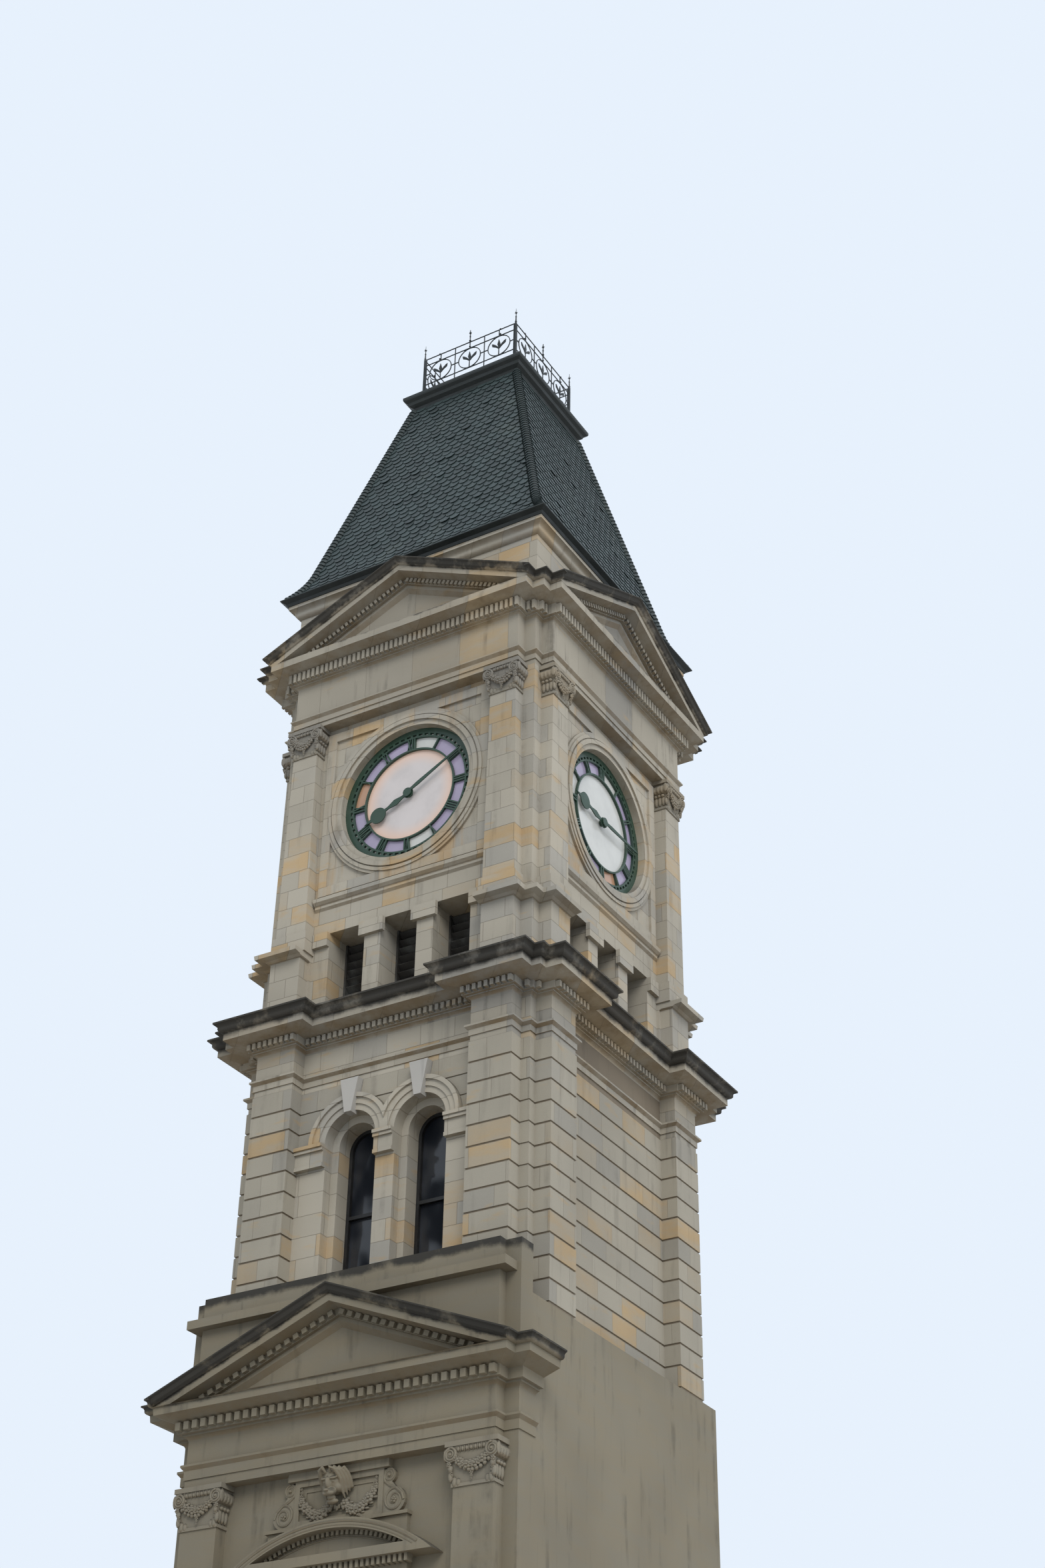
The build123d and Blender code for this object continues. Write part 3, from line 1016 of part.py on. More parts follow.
# Attic wall with its moulded cornice
attic_outline = [(-ATTIC_WALL, CLOCK_TOP), (0, CLOCK_TOP), (0, ATTIC_CORNICE)]
attic_outline += cyma((0, ATTIC_CORNICE), (165, GUTTER_BOTTOM - 70), 22)
attic_outline += [(175, GUTTER_BOTTOM - 70), (175, GUTTER_BOTTOM), (-ATTIC_WALL, GUTTER_BOTTOM)]
attic_square = quarter_turns([(ATTIC_HALF, -ATTIC_HALF)])
with BuildPart() as attic:
    add(swept_moulding([(0, -ATTIC_HALF)] + attic_square + [(0, -ATTIC_HALF)], ATTIC_HALF, attic_outline))
save(attic.part, "attic")

# Metal gutter along the eaves
gutter_outline = [(-250, GUTTER_BOTTOM), (190, GUTTER_BOTTOM), (215, GUTTER_BOTTOM + 50),
                  (296, GUTTER_TOP - 20), (296, GUTTER_TOP), (-250, GUTTER_TOP)]
with BuildPart() as gutter:
    add(swept_moulding([(0, -ATTIC_HALF)] + attic_square + [(0, -ATTIC_HALF)], ATTIC_HALF, gutter_outline))
save(gutter.part, "gutter")

# Mansard roof: a thin shell, straight above and swept out at the eaves
roof_slope = math.atan2(ROOF_BEND_HALF - ROOF_HEAD_HALF, ROOF_HEAD - ROOF_BEND)
skin = ROOF_SKIN / math.cos(roof_slope)
foot = [(0, -ROOF_FOOT_HALF)] + quarter_turns([(ROOF_FOOT_HALF, -ROOF_FOOT_HALF)]) + [(0, -ROOF_FOOT_HALF)]
with BuildPart() as mansard_roof:
    with BuildLine() as eaves:
        Polyline(*foot)
    with BuildSketch(Plane.YZ):
        with BuildLine():
            Line((-ROOF_BEND_HALF, ROOF_BEND), (-ROOF_HEAD_HALF, ROOF_HEAD))
            Line((-ROOF_HEAD_HALF, ROOF_HEAD), (-ROOF_HEAD_HALF + skin, ROOF_HEAD))
            Line((-ROOF_HEAD_HALF + skin, ROOF_HEAD), (-ROOF_BEND_HALF + skin, ROOF_BEND))
            TangentArc((-ROOF_BEND_HALF + skin, ROOF_BEND), (-ROOF_FOOT_HALF + 1.6 * skin, GUTTER_TOP),
                       tangent=(-math.sin(roof_slope), -math.cos(roof_slope)))
            Line((-ROOF_FOOT_HALF + 1.6 * skin, GUTTER_TOP), (-ROOF_FOOT_HALF, GUTTER_TOP))
            TangentArc((-ROOF_BEND_HALF, ROOF_BEND), (-ROOF_FOOT_HALF, GUTTER_TOP),
                       tangent=(-math.sin(roof_slope), -math.cos(roof_slope)))
        make_face()
    sweep(path=eaves.line, transition=Transition.RIGHT)
save(mansard_roof.part, "mansard_roof")

# Rolls down the hips
with BuildPart() as hip_rolls:
    for side_x, side_y in ((1, -1), (1, 1), (-1, 1), (-1, -1)):
        with BuildLine() as hip:
            low = ROOF_BEND_HALF + HIP_LIFT
            high = ROOF_HEAD_HALF + HIP_LIFT
            Line((side_x * low, side_y * low, ROOF_BEND), (side_x * high, side_y * high, ROOF_HEAD - 30))
        with BuildSketch(hip.line ^ 0):
            RegularPolygon(HIP_RADIUS, 8)
        sweep(path=hip.line)
    add(mansard_roof.part, mode=Mode.SUBTRACT)
save(hip_rolls.part, "hip_rolls")

# Moulded metal cap that closes the roof
cap_outline = [(-ROOF_HEAD_HALF + 40, ROOF_HEAD), (0, ROOF_HEAD), (20, ROOF_HEAD + 50), (90, ROOF_HEAD + 90),
               (110, ROOF_HEAD + 150), (165, ROOF_HEAD + 190), (177, ROOF_HEAD + 220), (177, CAP_TOP),
               (-ROOF_HEAD_HALF + 40, CAP_TOP)]
head = [(0, -ROOF_HEAD_HALF)] + quarter_turns([(ROOF_HEAD_HALF, -ROOF_HEAD_HALF)]) + [(0, -ROOF_HEAD_HALF)]
with BuildPart() as roof_cap:
    add(swept_moulding(head, ROOF_HEAD_HALF, cap_outline))
    with Locations((0, 0, ROOF_HEAD)):
        Box(200, 200, CAP_TOP - ROOF_HEAD, align=(Align.CENTER, Align.CENTER, Align.MIN))
save(roof_cap.part, "roof_cap")

# Iron cresting: on each side rings with three-leaved tulips between uprights, under a double rail
bay = 2 * (CREST_HALF - 40) / CREST_BAYS
ring_radius = 0.385 * bay
ring_middle = CREST_TOP - RAIL_GAP - ring_radius
with BuildPart() as crest_side:
    with BuildSketch(Plane.XZ.offset(CREST_HALF)):
        for level in (CAP_TOP + 60, ring_middle - ring_radius, CREST_TOP - RAIL_GAP,
                      CREST_TOP - CREST_BAR / 2):
            with Locations((0, level)):
                Rectangle(2 * (CREST_HALF - 30), CREST_BAR)
        with GridLocations(bay, 1, CREST_BAYS, 1):
            with Locations((0, ring_middle)):
                RegularPolygon(ring_radius, 24)
                RegularPolygon(ring_radius - CREST_BAR, 24, mode=Mode.SUBTRACT)
                Polygon((-10, -ring_radius), (10, -ring_radius), (6, -60), (34, 40), (0, 170),
                        (-34, 40), (-6, -60), align=None)
                for side in (-1, 1):
                    Polygon((0, -90), (side * 70, -20), (side * 150, 30), (side * 160, 100),
                            (side * 125, 85), (side * 60, 30), (0, -50), align=None)
            with Locations((0, CREST_TOP - RAIL_GAP)):
                Rectangle(CREST_BAR, RAIL_GAP, align=(Align.CENTER, Align.MIN))
        with GridLocations(bay, 1, CREST_BAYS + 1, 1):
            with Locations((0, CAP_TOP)):
                Rectangle(CREST_BAR, CREST_HEIGHT, align=(Align.CENTER, Align.MIN))
        with GridLocations(bay / 2 + ring_radius, 1, 2, 1):
            with GridLocations(bay, 1, CREST_BAYS, 1):
                with Locations((0, ring_middle)):
                    Rectangle(bay / 2 - ring_radius + CREST_BAR, CREST_BAR)
        with Locations((0, CREST_TOP - CREST_BAR)):
            Polygon((-CREST_BAR / 2, 0), (CREST_BAR / 2, 0), (CREST_BAR / 2, SPIKE_HEIGHT - 90),
                    (0, SPIKE_HEIGHT - 40), (-CREST_BAR / 2, SPIKE_HEIGHT - 90), align=None)
    extrude(amount=CREST_BAR / 2, both=True)
with BuildPart() as cresting_panels:
    add(around(crest_side.part))
save(cresting_panels.part, "cresting_panels")

with BuildPart() as cresting_posts:
    with GridLocations(2 * CREST_HALF, 2 * CREST_HALF, 2, 2):
        with Locations((0, 0, CAP_TOP)):
            Box(34, 34, CREST_TOP - CAP_TOP, align=(Align.CENTER, Align.CENTER, Align.MIN))
        with Locations((0, 0, CREST_TOP)):
            Cone(17, 3, CREST_SPIKE - CREST_TOP, align=(Align.CENTER, Align.CENTER, Align.MIN))
save(cresting_posts.part, "cresting_posts")

# Hands, drawn pointing to twelve in the plane of the front dial and turned to the time
hour_plane = CLOCK_HALF - DIAL_SET_BACK + HAND_CLEAR
minute_plane = hour_plane + HOUR_DEPTH + HAND_CLEAR
glass_face = CLOCK_HALF - DIAL_SET_BACK - DIAL_DEPTH


def hour_hand():
    with BuildPart() as hand:
        with BuildSketch(Plane.XZ.offset(hour_plane)):
            with Locations((0, DIAL_Z)):
                Circle(BOSS_RADIUS)
                Polygon((-28, 0), (28, 0), (28, 130), (62, 270), (24, 420), (30, HOUR_REACH - 390),
                        (-30, HOUR_REACH - 390), (-24, 420),
                        (-62, 270), (-28, 130), align=None)
                Polygon((-45, HOUR_REACH - 190), (45, HOUR_REACH - 190), (0, HOUR_REACH), align=None)
            with Locations((0, DIAL_Z + HOUR_REACH - 290)):
                Circle(150)
            with Locations((0, DIAL_Z)):
                Circle(ARBOR_RADIUS + 6, mode=Mode.SUBTRACT)
        extrude(amount=HOUR_DEPTH)
        with BuildSketch(Plane.XZ.offset(hour_plane)):
            with Locations((0, DIAL_Z)):
                Circle(ARBOR_RADIUS + 24)
                Circle(ARBOR_RADIUS + 6, mode=Mode.SUBTRACT)
        extrude(amount=-(hour_plane - glass_face - 6))
    return hand.part


def minute_hand():
    with BuildPart() as hand:
        with BuildSketch(Plane.XZ.offset(minute_plane)):
            with Locations((0, DIAL_Z)):
                Circle(BOSS_RADIUS - 15)
                Polygon((-20, 0), (20, 0), (34, 230), (10, MINUTE_REACH), (-10, MINUTE_REACH), (-34, 230),
                        align=None)
        extrude(amount=MINUTE_DEPTH)
        with BuildSketch(Plane.XZ.offset(minute_plane)):
            with Locations((0, DIAL_Z)):
                Circle(ARBOR_RADIUS)
        extrude(amount=-(minute_plane - glass_face - 6))
    return hand.part


dial_axis = Axis((0, 0, DIAL_Z), (0, 1, 0))
face_turns = {"front": 0, "right": 90, "back": 180, "left": 270}


def place_hand(hand, degrees, face):
    return Rot(0, 0, face_turns[face]) * hand.rotate(dial_axis, degrees)


for face, (hour, minute) in (("front", FRONT_TIME), ("right", SIDE_TIME)):
    save(place_hand(minute_hand(), 6 * minute, face), f"{face}_minute_hand")
    save(place_hand(hour_hand(), 30 * hour + minute / 2, face), f"{face}_hour_hand")

# Hands of the two faces that are not seen
with BuildPart() as far_dial_hands:
    for face in ("back", "left"):
        add(place_hand(minute_hand(), 6 * FRONT_TIME[1], face))
        add(place_hand(hour_hand(), 30 * FRONT_TIME[0] + FRONT_TIME[1] / 2, face))
save(far_dial_hands.part, "far_dial_hands")
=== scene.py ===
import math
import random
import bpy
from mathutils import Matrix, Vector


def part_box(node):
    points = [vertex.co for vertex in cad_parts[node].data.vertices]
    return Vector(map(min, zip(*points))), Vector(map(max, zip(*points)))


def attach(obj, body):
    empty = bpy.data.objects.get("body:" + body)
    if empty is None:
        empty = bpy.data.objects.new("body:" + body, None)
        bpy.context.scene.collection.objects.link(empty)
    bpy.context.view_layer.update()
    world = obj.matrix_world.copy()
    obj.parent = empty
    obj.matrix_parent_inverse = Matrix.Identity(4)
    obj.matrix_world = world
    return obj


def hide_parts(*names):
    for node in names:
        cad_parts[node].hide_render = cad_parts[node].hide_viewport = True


bl_info = {
    "name": "Clock Tower Dressing",
    "version": (1, 0, 0),
    "blender": (4, 5, 0),
    "location": "3D View > Sidebar > Tower",
    "description": "Dresses the packed clock tower with stone courses, dials, slates, ironwork and ornament",
    "category": "Object",
}

import bmesh
import bpy
from bpy.props import FloatProperty, FloatVectorProperty, PointerProperty
from mathutils import Matrix, Vector

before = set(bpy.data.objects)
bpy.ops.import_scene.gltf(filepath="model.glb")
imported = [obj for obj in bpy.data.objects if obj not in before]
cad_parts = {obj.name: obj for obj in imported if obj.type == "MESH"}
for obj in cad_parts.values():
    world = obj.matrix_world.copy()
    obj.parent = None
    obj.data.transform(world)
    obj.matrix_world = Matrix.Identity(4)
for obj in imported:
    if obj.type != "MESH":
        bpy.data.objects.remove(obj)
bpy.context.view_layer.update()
STATIC_BODY = "tower"


def lowest(node):
    return Vector(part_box(node)[0])


def highest(node):
    return Vector(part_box(node)[1])


# Levels and half-widths taken from the frame, in metres
DECK_TOP = highest("roof_deck").z
STRING_BOTTOM = lowest("mid_entablature").z
MID_TOP = highest("mid_entablature").z
CLOCK_TOP = highest("clock_entablature").z
CLOCK_APEX = highest("clock_pediments").z
PAVILION_TOP = highest("pavilion_entablature").z
PAVILION_APEX = highest("pavilion_pediment").z
PARAPET_TOP = highest("parapet").z
HOOD_TOP = highest("window_surround").z
PANEL_FOOT = lowest("pavilion_capitals").z
ROOF_FOOT = lowest("mansard_roof").z
ROOF_HEAD = highest("mansard_roof").z
SHAFT_HALF = highest("shaft_window_walls").y
STAGE_HALF = highest("clock_walls_front_back").y
PIER_FACE = highest("rusticated_piers").y
DIAL_LOW, DIAL_HIGH = lowest("dial_frames"), highest("dial_frames")
DIAL_Z = (DIAL_LOW.z + DIAL_HIGH.z) / 2
DIAL_FACE = -DIAL_LOW.y
BASE_FRONT = -lowest("first_front_wall").y
PANEL_FACE = -lowest("cartouche_panel").y - 0.045

# The corner piers, pilasters and paired arches, which no box gives by itself
PIER_INNER = SHAFT_HALF - 0.157
PIER_WIDTH = 0.72
PILASTER_STAND = 0.22
ARCH_X = 0.63
ARCH_RADIUS = 0.46
ARCH_SPRING = STRING_BOTTOM - 0.96
HOOD_RADIUS = 2.693
HOOD_CENTRE = HOOD_TOP - HOOD_RADIUS


# User settings

def length_setting(name, description, default, least=0.0):
    return FloatProperty(name=name, description=description, default=default, min=least, unit="LENGTH")


def colour_setting(name, description, default):
    return FloatVectorProperty(name=name, description=description, default=default, size=3, subtype="COLOR")


def angle_setting(name, description, degrees):
    return FloatProperty(name=name, description=description, default=math.radians(degrees), unit="ROTATION")


class TowerStoneSettings(bpy.types.PropertyGroup):
    course_height: length_setting("Course height", "Height of one stone course", 0.3413, 0.1)
    block_length: length_setting("Block length", "Usual length of a block", 0.62, 0.1)
    channel: length_setting("Channel", "Height of the sunk joint between rusticated courses", 0.022)
    stand: length_setting("Stand", "How far the rusticated blocks stand over the joints", 0.016)
    light: colour_setting("Light stone", "Colour of most blocks", (0.405, 0.372, 0.305))
    warm: colour_setting("Warm stone", "Colour of the ochre blocks", (0.46, 0.335, 0.19))
    grey: colour_setting("Grey stone", "Colour of the grey blocks", (0.36, 0.34, 0.295))


class TowerDialSettings(bpy.types.PropertyGroup):
    centre_radius: length_setting("Centre radius", "Radius of the middle sheet of glass", 0.865)
    band_radius: length_setting("Band radius", "Outer radius of the coloured panes", 1.105)
    glass_radius: length_setting("Glass radius", "Outer radius of the glass under the minute bars", 1.195)
    iron: colour_setting("Dial iron", "Paint on the dial castings", (0.015, 0.047, 0.027))


class TowerRoofSettings(bpy.types.PropertyGroup):
    slate_width: length_setting("Slate width", "Width of one fish-scale slate", 0.205, 0.05)
    slate_gauge: length_setting("Slate gauge", "Length of slate that each row shows", 0.135, 0.03)
    slate: colour_setting("Slate", "Colour of the slates", (0.027, 0.042, 0.042))
    metal: colour_setting("Roof metal", "Paint on gutter and cap", (0.006, 0.010, 0.009))


# Shader building

def node_group(name, inputs, outputs):
    """An empty shader node group: its input sockets by name and default, and its output node."""
    group = bpy.data.node_groups.new(name, "ShaderNodeTree")
    for label, default in inputs.items():
        kind = "NodeSocketColor" if isinstance(default, tuple) else "NodeSocketFloat"
        socket = group.interface.new_socket(name=label, in_out="INPUT", socket_type=kind)
        socket.default_value = default
    for label in outputs:
        kind = "NodeSocketColor" if label == "Color" else "NodeSocketFloat"
        group.interface.new_socket(name=label, in_out="OUTPUT", socket_type=kind)
    return group, group.nodes.new("NodeGroupInput").outputs, group.nodes.new("NodeGroupOutput")


def connect(tree, source, target):
    """Links a socket, or writes a plain number or colour into the target."""
    if isinstance(source, bpy.types.NodeSocket):
        tree.links.new(source, target)
    else:
        target.default_value = source


def connect_named(tree, target, values):
    """Links each value to the target's input of that name."""
    for name, value in values.items():
        connect(tree, value, target.inputs[name])


def math_node(tree, operation, *values):
    node = tree.nodes.new("ShaderNodeMath")
    node.operation = operation
    for index, value in enumerate(values):
        connect(tree, value, node.inputs[index])
    return node.outputs[0]


def product(tree, first, *others):
    for other in others:
        first = math_node(tree, "MULTIPLY", first, other)
    return first


def ramp(tree, value, low, high, out_low=0.0, out_high=1.0):
    node = tree.nodes.new("ShaderNodeMapRange")
    node.interpolation_type = "SMOOTHSTEP"
    for socket, number in zip(node.inputs, (value, low, high, out_low, out_high)):
        connect(tree, number, socket)
    return node.outputs[0]


def mix_colour(tree, factor, first, second):
    node = tree.nodes.new("ShaderNodeMix")
    node.data_type = "RGBA"
    connect(tree, factor, node.inputs["Factor"])
    connect(tree, first, node.inputs[6])
    connect(tree, second, node.inputs[7])
    return node.outputs[2]


def scale_colour(tree, colour, level):
    node = tree.nodes.new("ShaderNodeVectorMath")
    node.operation = "SCALE"
    connect(tree, colour, node.inputs[0])
    connect(tree, level, node.inputs["Scale"])
    return node.outputs[0]


def noise(tree, vector, scale, detail=3.0, roughness=0.55):
    node = tree.nodes.new("ShaderNodeTexNoise")
    connect(tree, vector, node.inputs["Vector"])
    node.inputs["Scale"].default_value = scale
    node.inputs["Detail"].default_value = detail
    node.inputs["Roughness"].default_value = roughness
    return node.outputs["Fac"]


def white_noise(tree, dimensions, socket, value):
    node = tree.nodes.new("ShaderNodeTexWhiteNoise")
    node.noise_dimensions = dimensions
    tree.links.new(value, node.inputs[socket])
    return node.outputs["Value"]


def object_coordinates(tree, scale=None):
    place = tree.nodes.new("ShaderNodeTexCoord").outputs["Object"]
    if scale is None:
        return place
    mapping = tree.nodes.new("ShaderNodeMapping")
    tree.links.new(place, mapping.inputs["Vector"])
    mapping.inputs["Scale"].default_value = scale
    return mapping.outputs["Vector"]


def split_vector(tree, vector):
    node = tree.nodes.new("ShaderNodeSeparateXYZ")
    tree.links.new(vector, node.inputs[0])
    return node.outputs


def from_middle(tree, place):
    """Distance from the middle of a face, on all four sides of the tower."""
    return math_node(tree, "MINIMUM", math_node(tree, "ABSOLUTE", place["X"]),
                     math_node(tree, "ABSOLUTE", place["Y"]))


def build_course_group():
    """Coursed blocks on upright faces: a random tone for each block and a mask of the joints."""
    group, given, target = node_group(
        "coursed blocks", {"Course Height": 0.34, "Block Length": 0.62, "Joint": 0.006, "Base Height": 0.0},
        ("Tone", "Joint Mask"))
    place = split_vector(group, object_coordinates(group))
    along = math_node(group, "ADD", place["X"], place["Y"])
    rise = math_node(group, "SUBTRACT", place["Z"], given["Base Height"])
    rows = math_node(group, "DIVIDE", rise, given["Course Height"])
    row = math_node(group, "FLOOR", rows)
    places = math_node(group, "DIVIDE", along, given["Block Length"])
    places = math_node(group, "ADD", places, white_noise(group, "1D", "W", row))
    cell = group.nodes.new("ShaderNodeCombineXYZ")
    group.links.new(math_node(group, "FLOOR", places), cell.inputs[0])
    group.links.new(row, cell.inputs[1])
    gaps = []
    for part, size in ((places, "Block Length"), (rows, "Course Height")):
        within = math_node(group, "FRACT", part)
        near = math_node(group, "MINIMUM", within, math_node(group, "SUBTRACT", 1.0, within))
        gaps.append(product(group, near, given[size]))
    half = product(group, given["Joint"], 0.5)
    nearest = math_node(group, "MINIMUM", *gaps)
    joint = ramp(group, nearest, half, product(group, half, 1.8), 1.0, 0.0)
    connect_named(group, target, {"Tone": white_noise(group, "2D", "Vector", cell.outputs[0]),
                                  "Joint Mask": joint})
    return group


def build_stone_group():
    """Sandstone: block tint, bedding streaks, fine grain and soft stains."""
    group, given, target = node_group(
        "sandstone", {"Tone": 0.5, "Joint Mask": 0.0, "Light": (0.6, 0.5, 0.4, 1), "Warm": (0.6, 0.4, 0.2, 1),
                      "Grey": (0.4, 0.4, 0.4, 1), "Iron Stain": 0.5},
        ("Color", "Height", "Roughness"))
    coords = object_coordinates(group)
    bedding = noise(group, object_coordinates(group, (1.0, 1.0, 4.0)), 1.3, 4.0)
    broad = noise(group, coords, 0.45, 2.0)
    grain = noise(group, coords, 160.0, 2.0, 0.7)
    warm = product(group, ramp(group, given["Tone"], 0.78, 0.93),
                   ramp(group, bedding, 0.35, 0.62, 0.35, 1.0))
    tint = mix_colour(group, ramp(group, given["Tone"], 0.28, 0.10), given["Light"], given["Grey"])
    tint = mix_colour(group, warm, tint, given["Warm"])
    stain = product(group, ramp(group, bedding, 0.60, 0.74), given["Iron Stain"])
    tint = mix_colour(group, stain, tint, given["Warm"])
    fine_tone = math_node(group, "FRACT", product(group, given["Tone"], 7.31))
    level = product(group, ramp(group, fine_tone, 0.0, 1.0, 0.95, 1.04),
                    ramp(group, broad, 0.3, 0.7, 0.9, 1.07), ramp(group, grain, 0.2, 0.8, 0.93, 1.06))
    joint_shade = product(group, given["Joint Mask"], 0.40)
    height = math_node(group, "SUBTRACT", product(group, grain, 0.0012),
                       product(group, given["Joint Mask"], 0.006))
    connect_named(group, target, {
        "Color": mix_colour(group, joint_shade, scale_colour(group, tint, level), (0.16, 0.13, 0.09, 1)),
        "Height": math_node(group, "ADD", height, product(group, bedding, 0.004)),
        "Roughness": ramp(group, grain, 0.2, 0.8, 0.78, 0.95)})
    return group


def build_weather_group():
    """Rain streaks, dark growth on faces that look up or stand above a level, brown stains and painted shade
    underneath.
    """
    group, given, target = node_group(
        "weathering", {"Color": (0.5, 0.5, 0.5, 1), "Streaks": 0.4, "Top Growth": 0.6, "Under Stain": 0.4,
                       "Growth Color": (0.024, 0.022, 0.018, 1), "Band Low": 900.0, "Band High": 901.0,
                       "Band Slope": 0.0},
        ("Color",))
    streak = noise(group, object_coordinates(group, (5.0, 5.0, 0.5)), 1.0, 4.0, 0.6)
    patch = noise(group, object_coordinates(group), 2.2, 5.0, 0.65)
    facing = split_vector(group, group.nodes.new("ShaderNodeNewGeometry").outputs["Normal"])["Z"]
    place = split_vector(group, object_coordinates(group))
    runs = product(group, ramp(group, streak, 0.52, 0.72), given["Streaks"], ramp(group, patch, 0.35, 0.6))
    growth = product(group, ramp(group, facing, 0.15, 0.75), ramp(group, patch, 0.2, 0.55, 0.5, 1.0),
                     given["Top Growth"])
    ragged = product(group, math_node(group, "SUBTRACT", patch, 0.5), 0.22)
    level = math_node(group, "ADD", math_node(group, "ADD", place["Z"], ragged),
                      product(group, from_middle(group, place), given["Band Slope"]))
    band = product(group, ramp(group, level, given["Band Low"], given["Band High"]),
                   ramp(group, patch, 0.28, 0.50, 0.55, 0.96))
    dirt = math_node(group, "MAXIMUM", math_node(group, "MAXIMUM", runs, growth), band)
    # Faces that look down turn brown: partly real stains, partly painted shade under cornices and ledges.
    under = product(group, ramp(group, facing, -0.15, -0.7), ramp(group, patch, 0.3, 0.65, 0.35, 1.0),
                    given["Under Stain"], math_node(group, "SUBTRACT", 1.0, band))
    tint = mix_colour(group, dirt, given["Color"], given["Growth Color"])
    connect_named(group, target, {"Color": mix_colour(group, under, tint, (0.20, 0.135, 0.065, 1))})
    return group


def build_run_group():
    """Rust-brown water runs that hang from the dial's head and foot."""
    group, given, target = node_group(
        "iron runs", {"Color": (0.5, 0.5, 0.5, 1), "Amount": 0.5}, ("Color",))
    coords = object_coordinates(group)
    height = split_vector(group, coords)["Z"]
    runs = noise(group, object_coordinates(group, (2.6, 2.6, 0.22)), 1.0, 3.0, 0.6)
    cloud = noise(group, coords, 1.7, 4.0, 0.6)
    above = ramp(group, height, DIAL_Z + 0.9, DIAL_Z + 1.5)
    below = ramp(group, height, DIAL_Z - 0.6, DIAL_Z - 1.3)
    place = math_node(group, "MAXIMUM", math_node(group, "MAXIMUM", above, below), 0.35)
    mask = product(group, ramp(group, runs, 0.50, 0.66), ramp(group, cloud, 0.36, 0.58), place,
                   given["Amount"])
    connect_named(group, target, {"Color": mix_colour(group, mask, given["Color"], (0.42, 0.27, 0.12, 1))})
    return group


def build_paint_group():
    """Old gloss paint: slight runs in tone and small bumps."""
    group, given, target = node_group(
        "old paint", {"Color": (0.1, 0.1, 0.1, 1), "Chalk": 0.3}, ("Color", "Height", "Roughness"))
    coords = object_coordinates(group)
    cloud = noise(group, coords, 3.5, 5.0)
    chalk = product(group, ramp(group, cloud, 0.45, 0.75), given["Chalk"])
    connect_named(group, target, {
        "Color": mix_colour(group, chalk, given["Color"], (0.16, 0.17, 0.16, 1)),
        "Height": product(group, noise(group, coords, 60.0, 2.0), 0.002),
        "Roughness": ramp(group, cloud, 0.3, 0.7, 0.42, 0.68)})
    return group


GROUP_BUILDERS = {"courses": build_course_group, "stone": build_stone_group, "weather": build_weather_group,
                  "paint": build_paint_group, "iron runs": build_run_group}
GROUPS = {}


def use_group(tree, name, **values):
    """Places a shared group, built once; keyword names stand for socket names with spaces."""
    if name not in GROUPS:
        GROUPS[name] = GROUP_BUILDERS[name]()
    node = tree.nodes.new("ShaderNodeGroup")
    node.node_tree = GROUPS[name]
    connect_named(tree, node, {key.replace("_", " "): value for key, value in values.items()})
    return node.outputs


def new_material(name):
    """An empty material with its Principled shader."""
    made = bpy.data.materials.new(name)
    made.use_nodes = True
    tree = made.node_tree
    return made, tree, next(node for node in tree.nodes if node.type == "BSDF_PRINCIPLED")


def add_bump(tree, shader, height):
    bump = tree.nodes.new("ShaderNodeBump")
    bump.inputs["Strength"].default_value = 1.0
    bump.inputs["Distance"].default_value = 1.0
    tree.links.new(height, bump.inputs["Height"])
    tree.links.new(bump.outputs["Normal"], shader.inputs["Normal"])


def opaque(colour):
    return (*colour, 1.0)


def stone_material(name, course, length, joint=0.006, base=0.0, streaks=0.25, growth=0.6, under=0.5,
                   colours=None, iron=0.6, runs=0.0, band=(900.0, 901.0, 0.0)):
    """Stone or stucco; band holds the levels where dark growth starts and is full, and its slope."""
    settings = bpy.context.scene.tower_stone
    light, warm, grey = colours or (settings.light, settings.warm, settings.grey)
    made, tree, shader = new_material(name)
    blocks = use_group(tree, "courses", Course_Height=course, Block_Length=length, Joint=joint,
                       Base_Height=base)
    stone = use_group(tree, "stone", Tone=blocks["Tone"], Joint_Mask=blocks["Joint Mask"],
                      Light=opaque(light), Warm=opaque(warm), Grey=opaque(grey), Iron_Stain=iron)
    washed = stone["Color"]
    if runs:
        washed = use_group(tree, "iron runs", Color=washed, Amount=runs)["Color"]
    weather = use_group(tree, "weather", Color=washed, Streaks=streaks, Top_Growth=growth,
                        Under_Stain=under, Band_Low=band[0], Band_High=band[1], Band_Slope=band[2])
    connect_named(tree, shader, {"Base Color": weather["Color"], "Roughness": stone["Roughness"]})
    add_bump(tree, shader, stone["Height"])
    return made


def paint_material(name, colour, chalk, coat=0.0):
    made, tree, shader = new_material(name)
    paint = use_group(tree, "paint", Color=opaque(colour), Chalk=chalk)
    connect_named(tree, shader, {"Base Color": paint["Color"], "Roughness": paint["Roughness"],
                                 "Coat Weight": coat})
    add_bump(tree, shader, paint["Height"])
    return made


def slate_material(name, colour):
    """Slate with a tone for each piece, lichen and a rough cleft face."""
    made, tree, shader = new_material(name)
    tone = tree.nodes.new("ShaderNodeAttribute")
    tone.attribute_name = "tone"
    coords = object_coordinates(tree)
    cleft = noise(tree, coords, 22.0, 5.0, 0.65)
    lichen = ramp(tree, noise(tree, coords, 1.1, 5.0, 0.6), 0.55, 0.72)
    level = math_node(tree, "ADD", product(tree, tone.outputs["Fac"], 0.55), 0.72)
    tint = mix_colour(tree, product(tree, lichen, 0.25), scale_colour(tree, colour, level),
                      (0.10, 0.12, 0.10, 1))
    connect_named(tree, shader, {"Base Color": tint, "Roughness": ramp(tree, cleft, 0.3, 0.7, 0.38, 0.62)})
    add_bump(tree, shader, product(tree, cleft, 0.006))
    return made


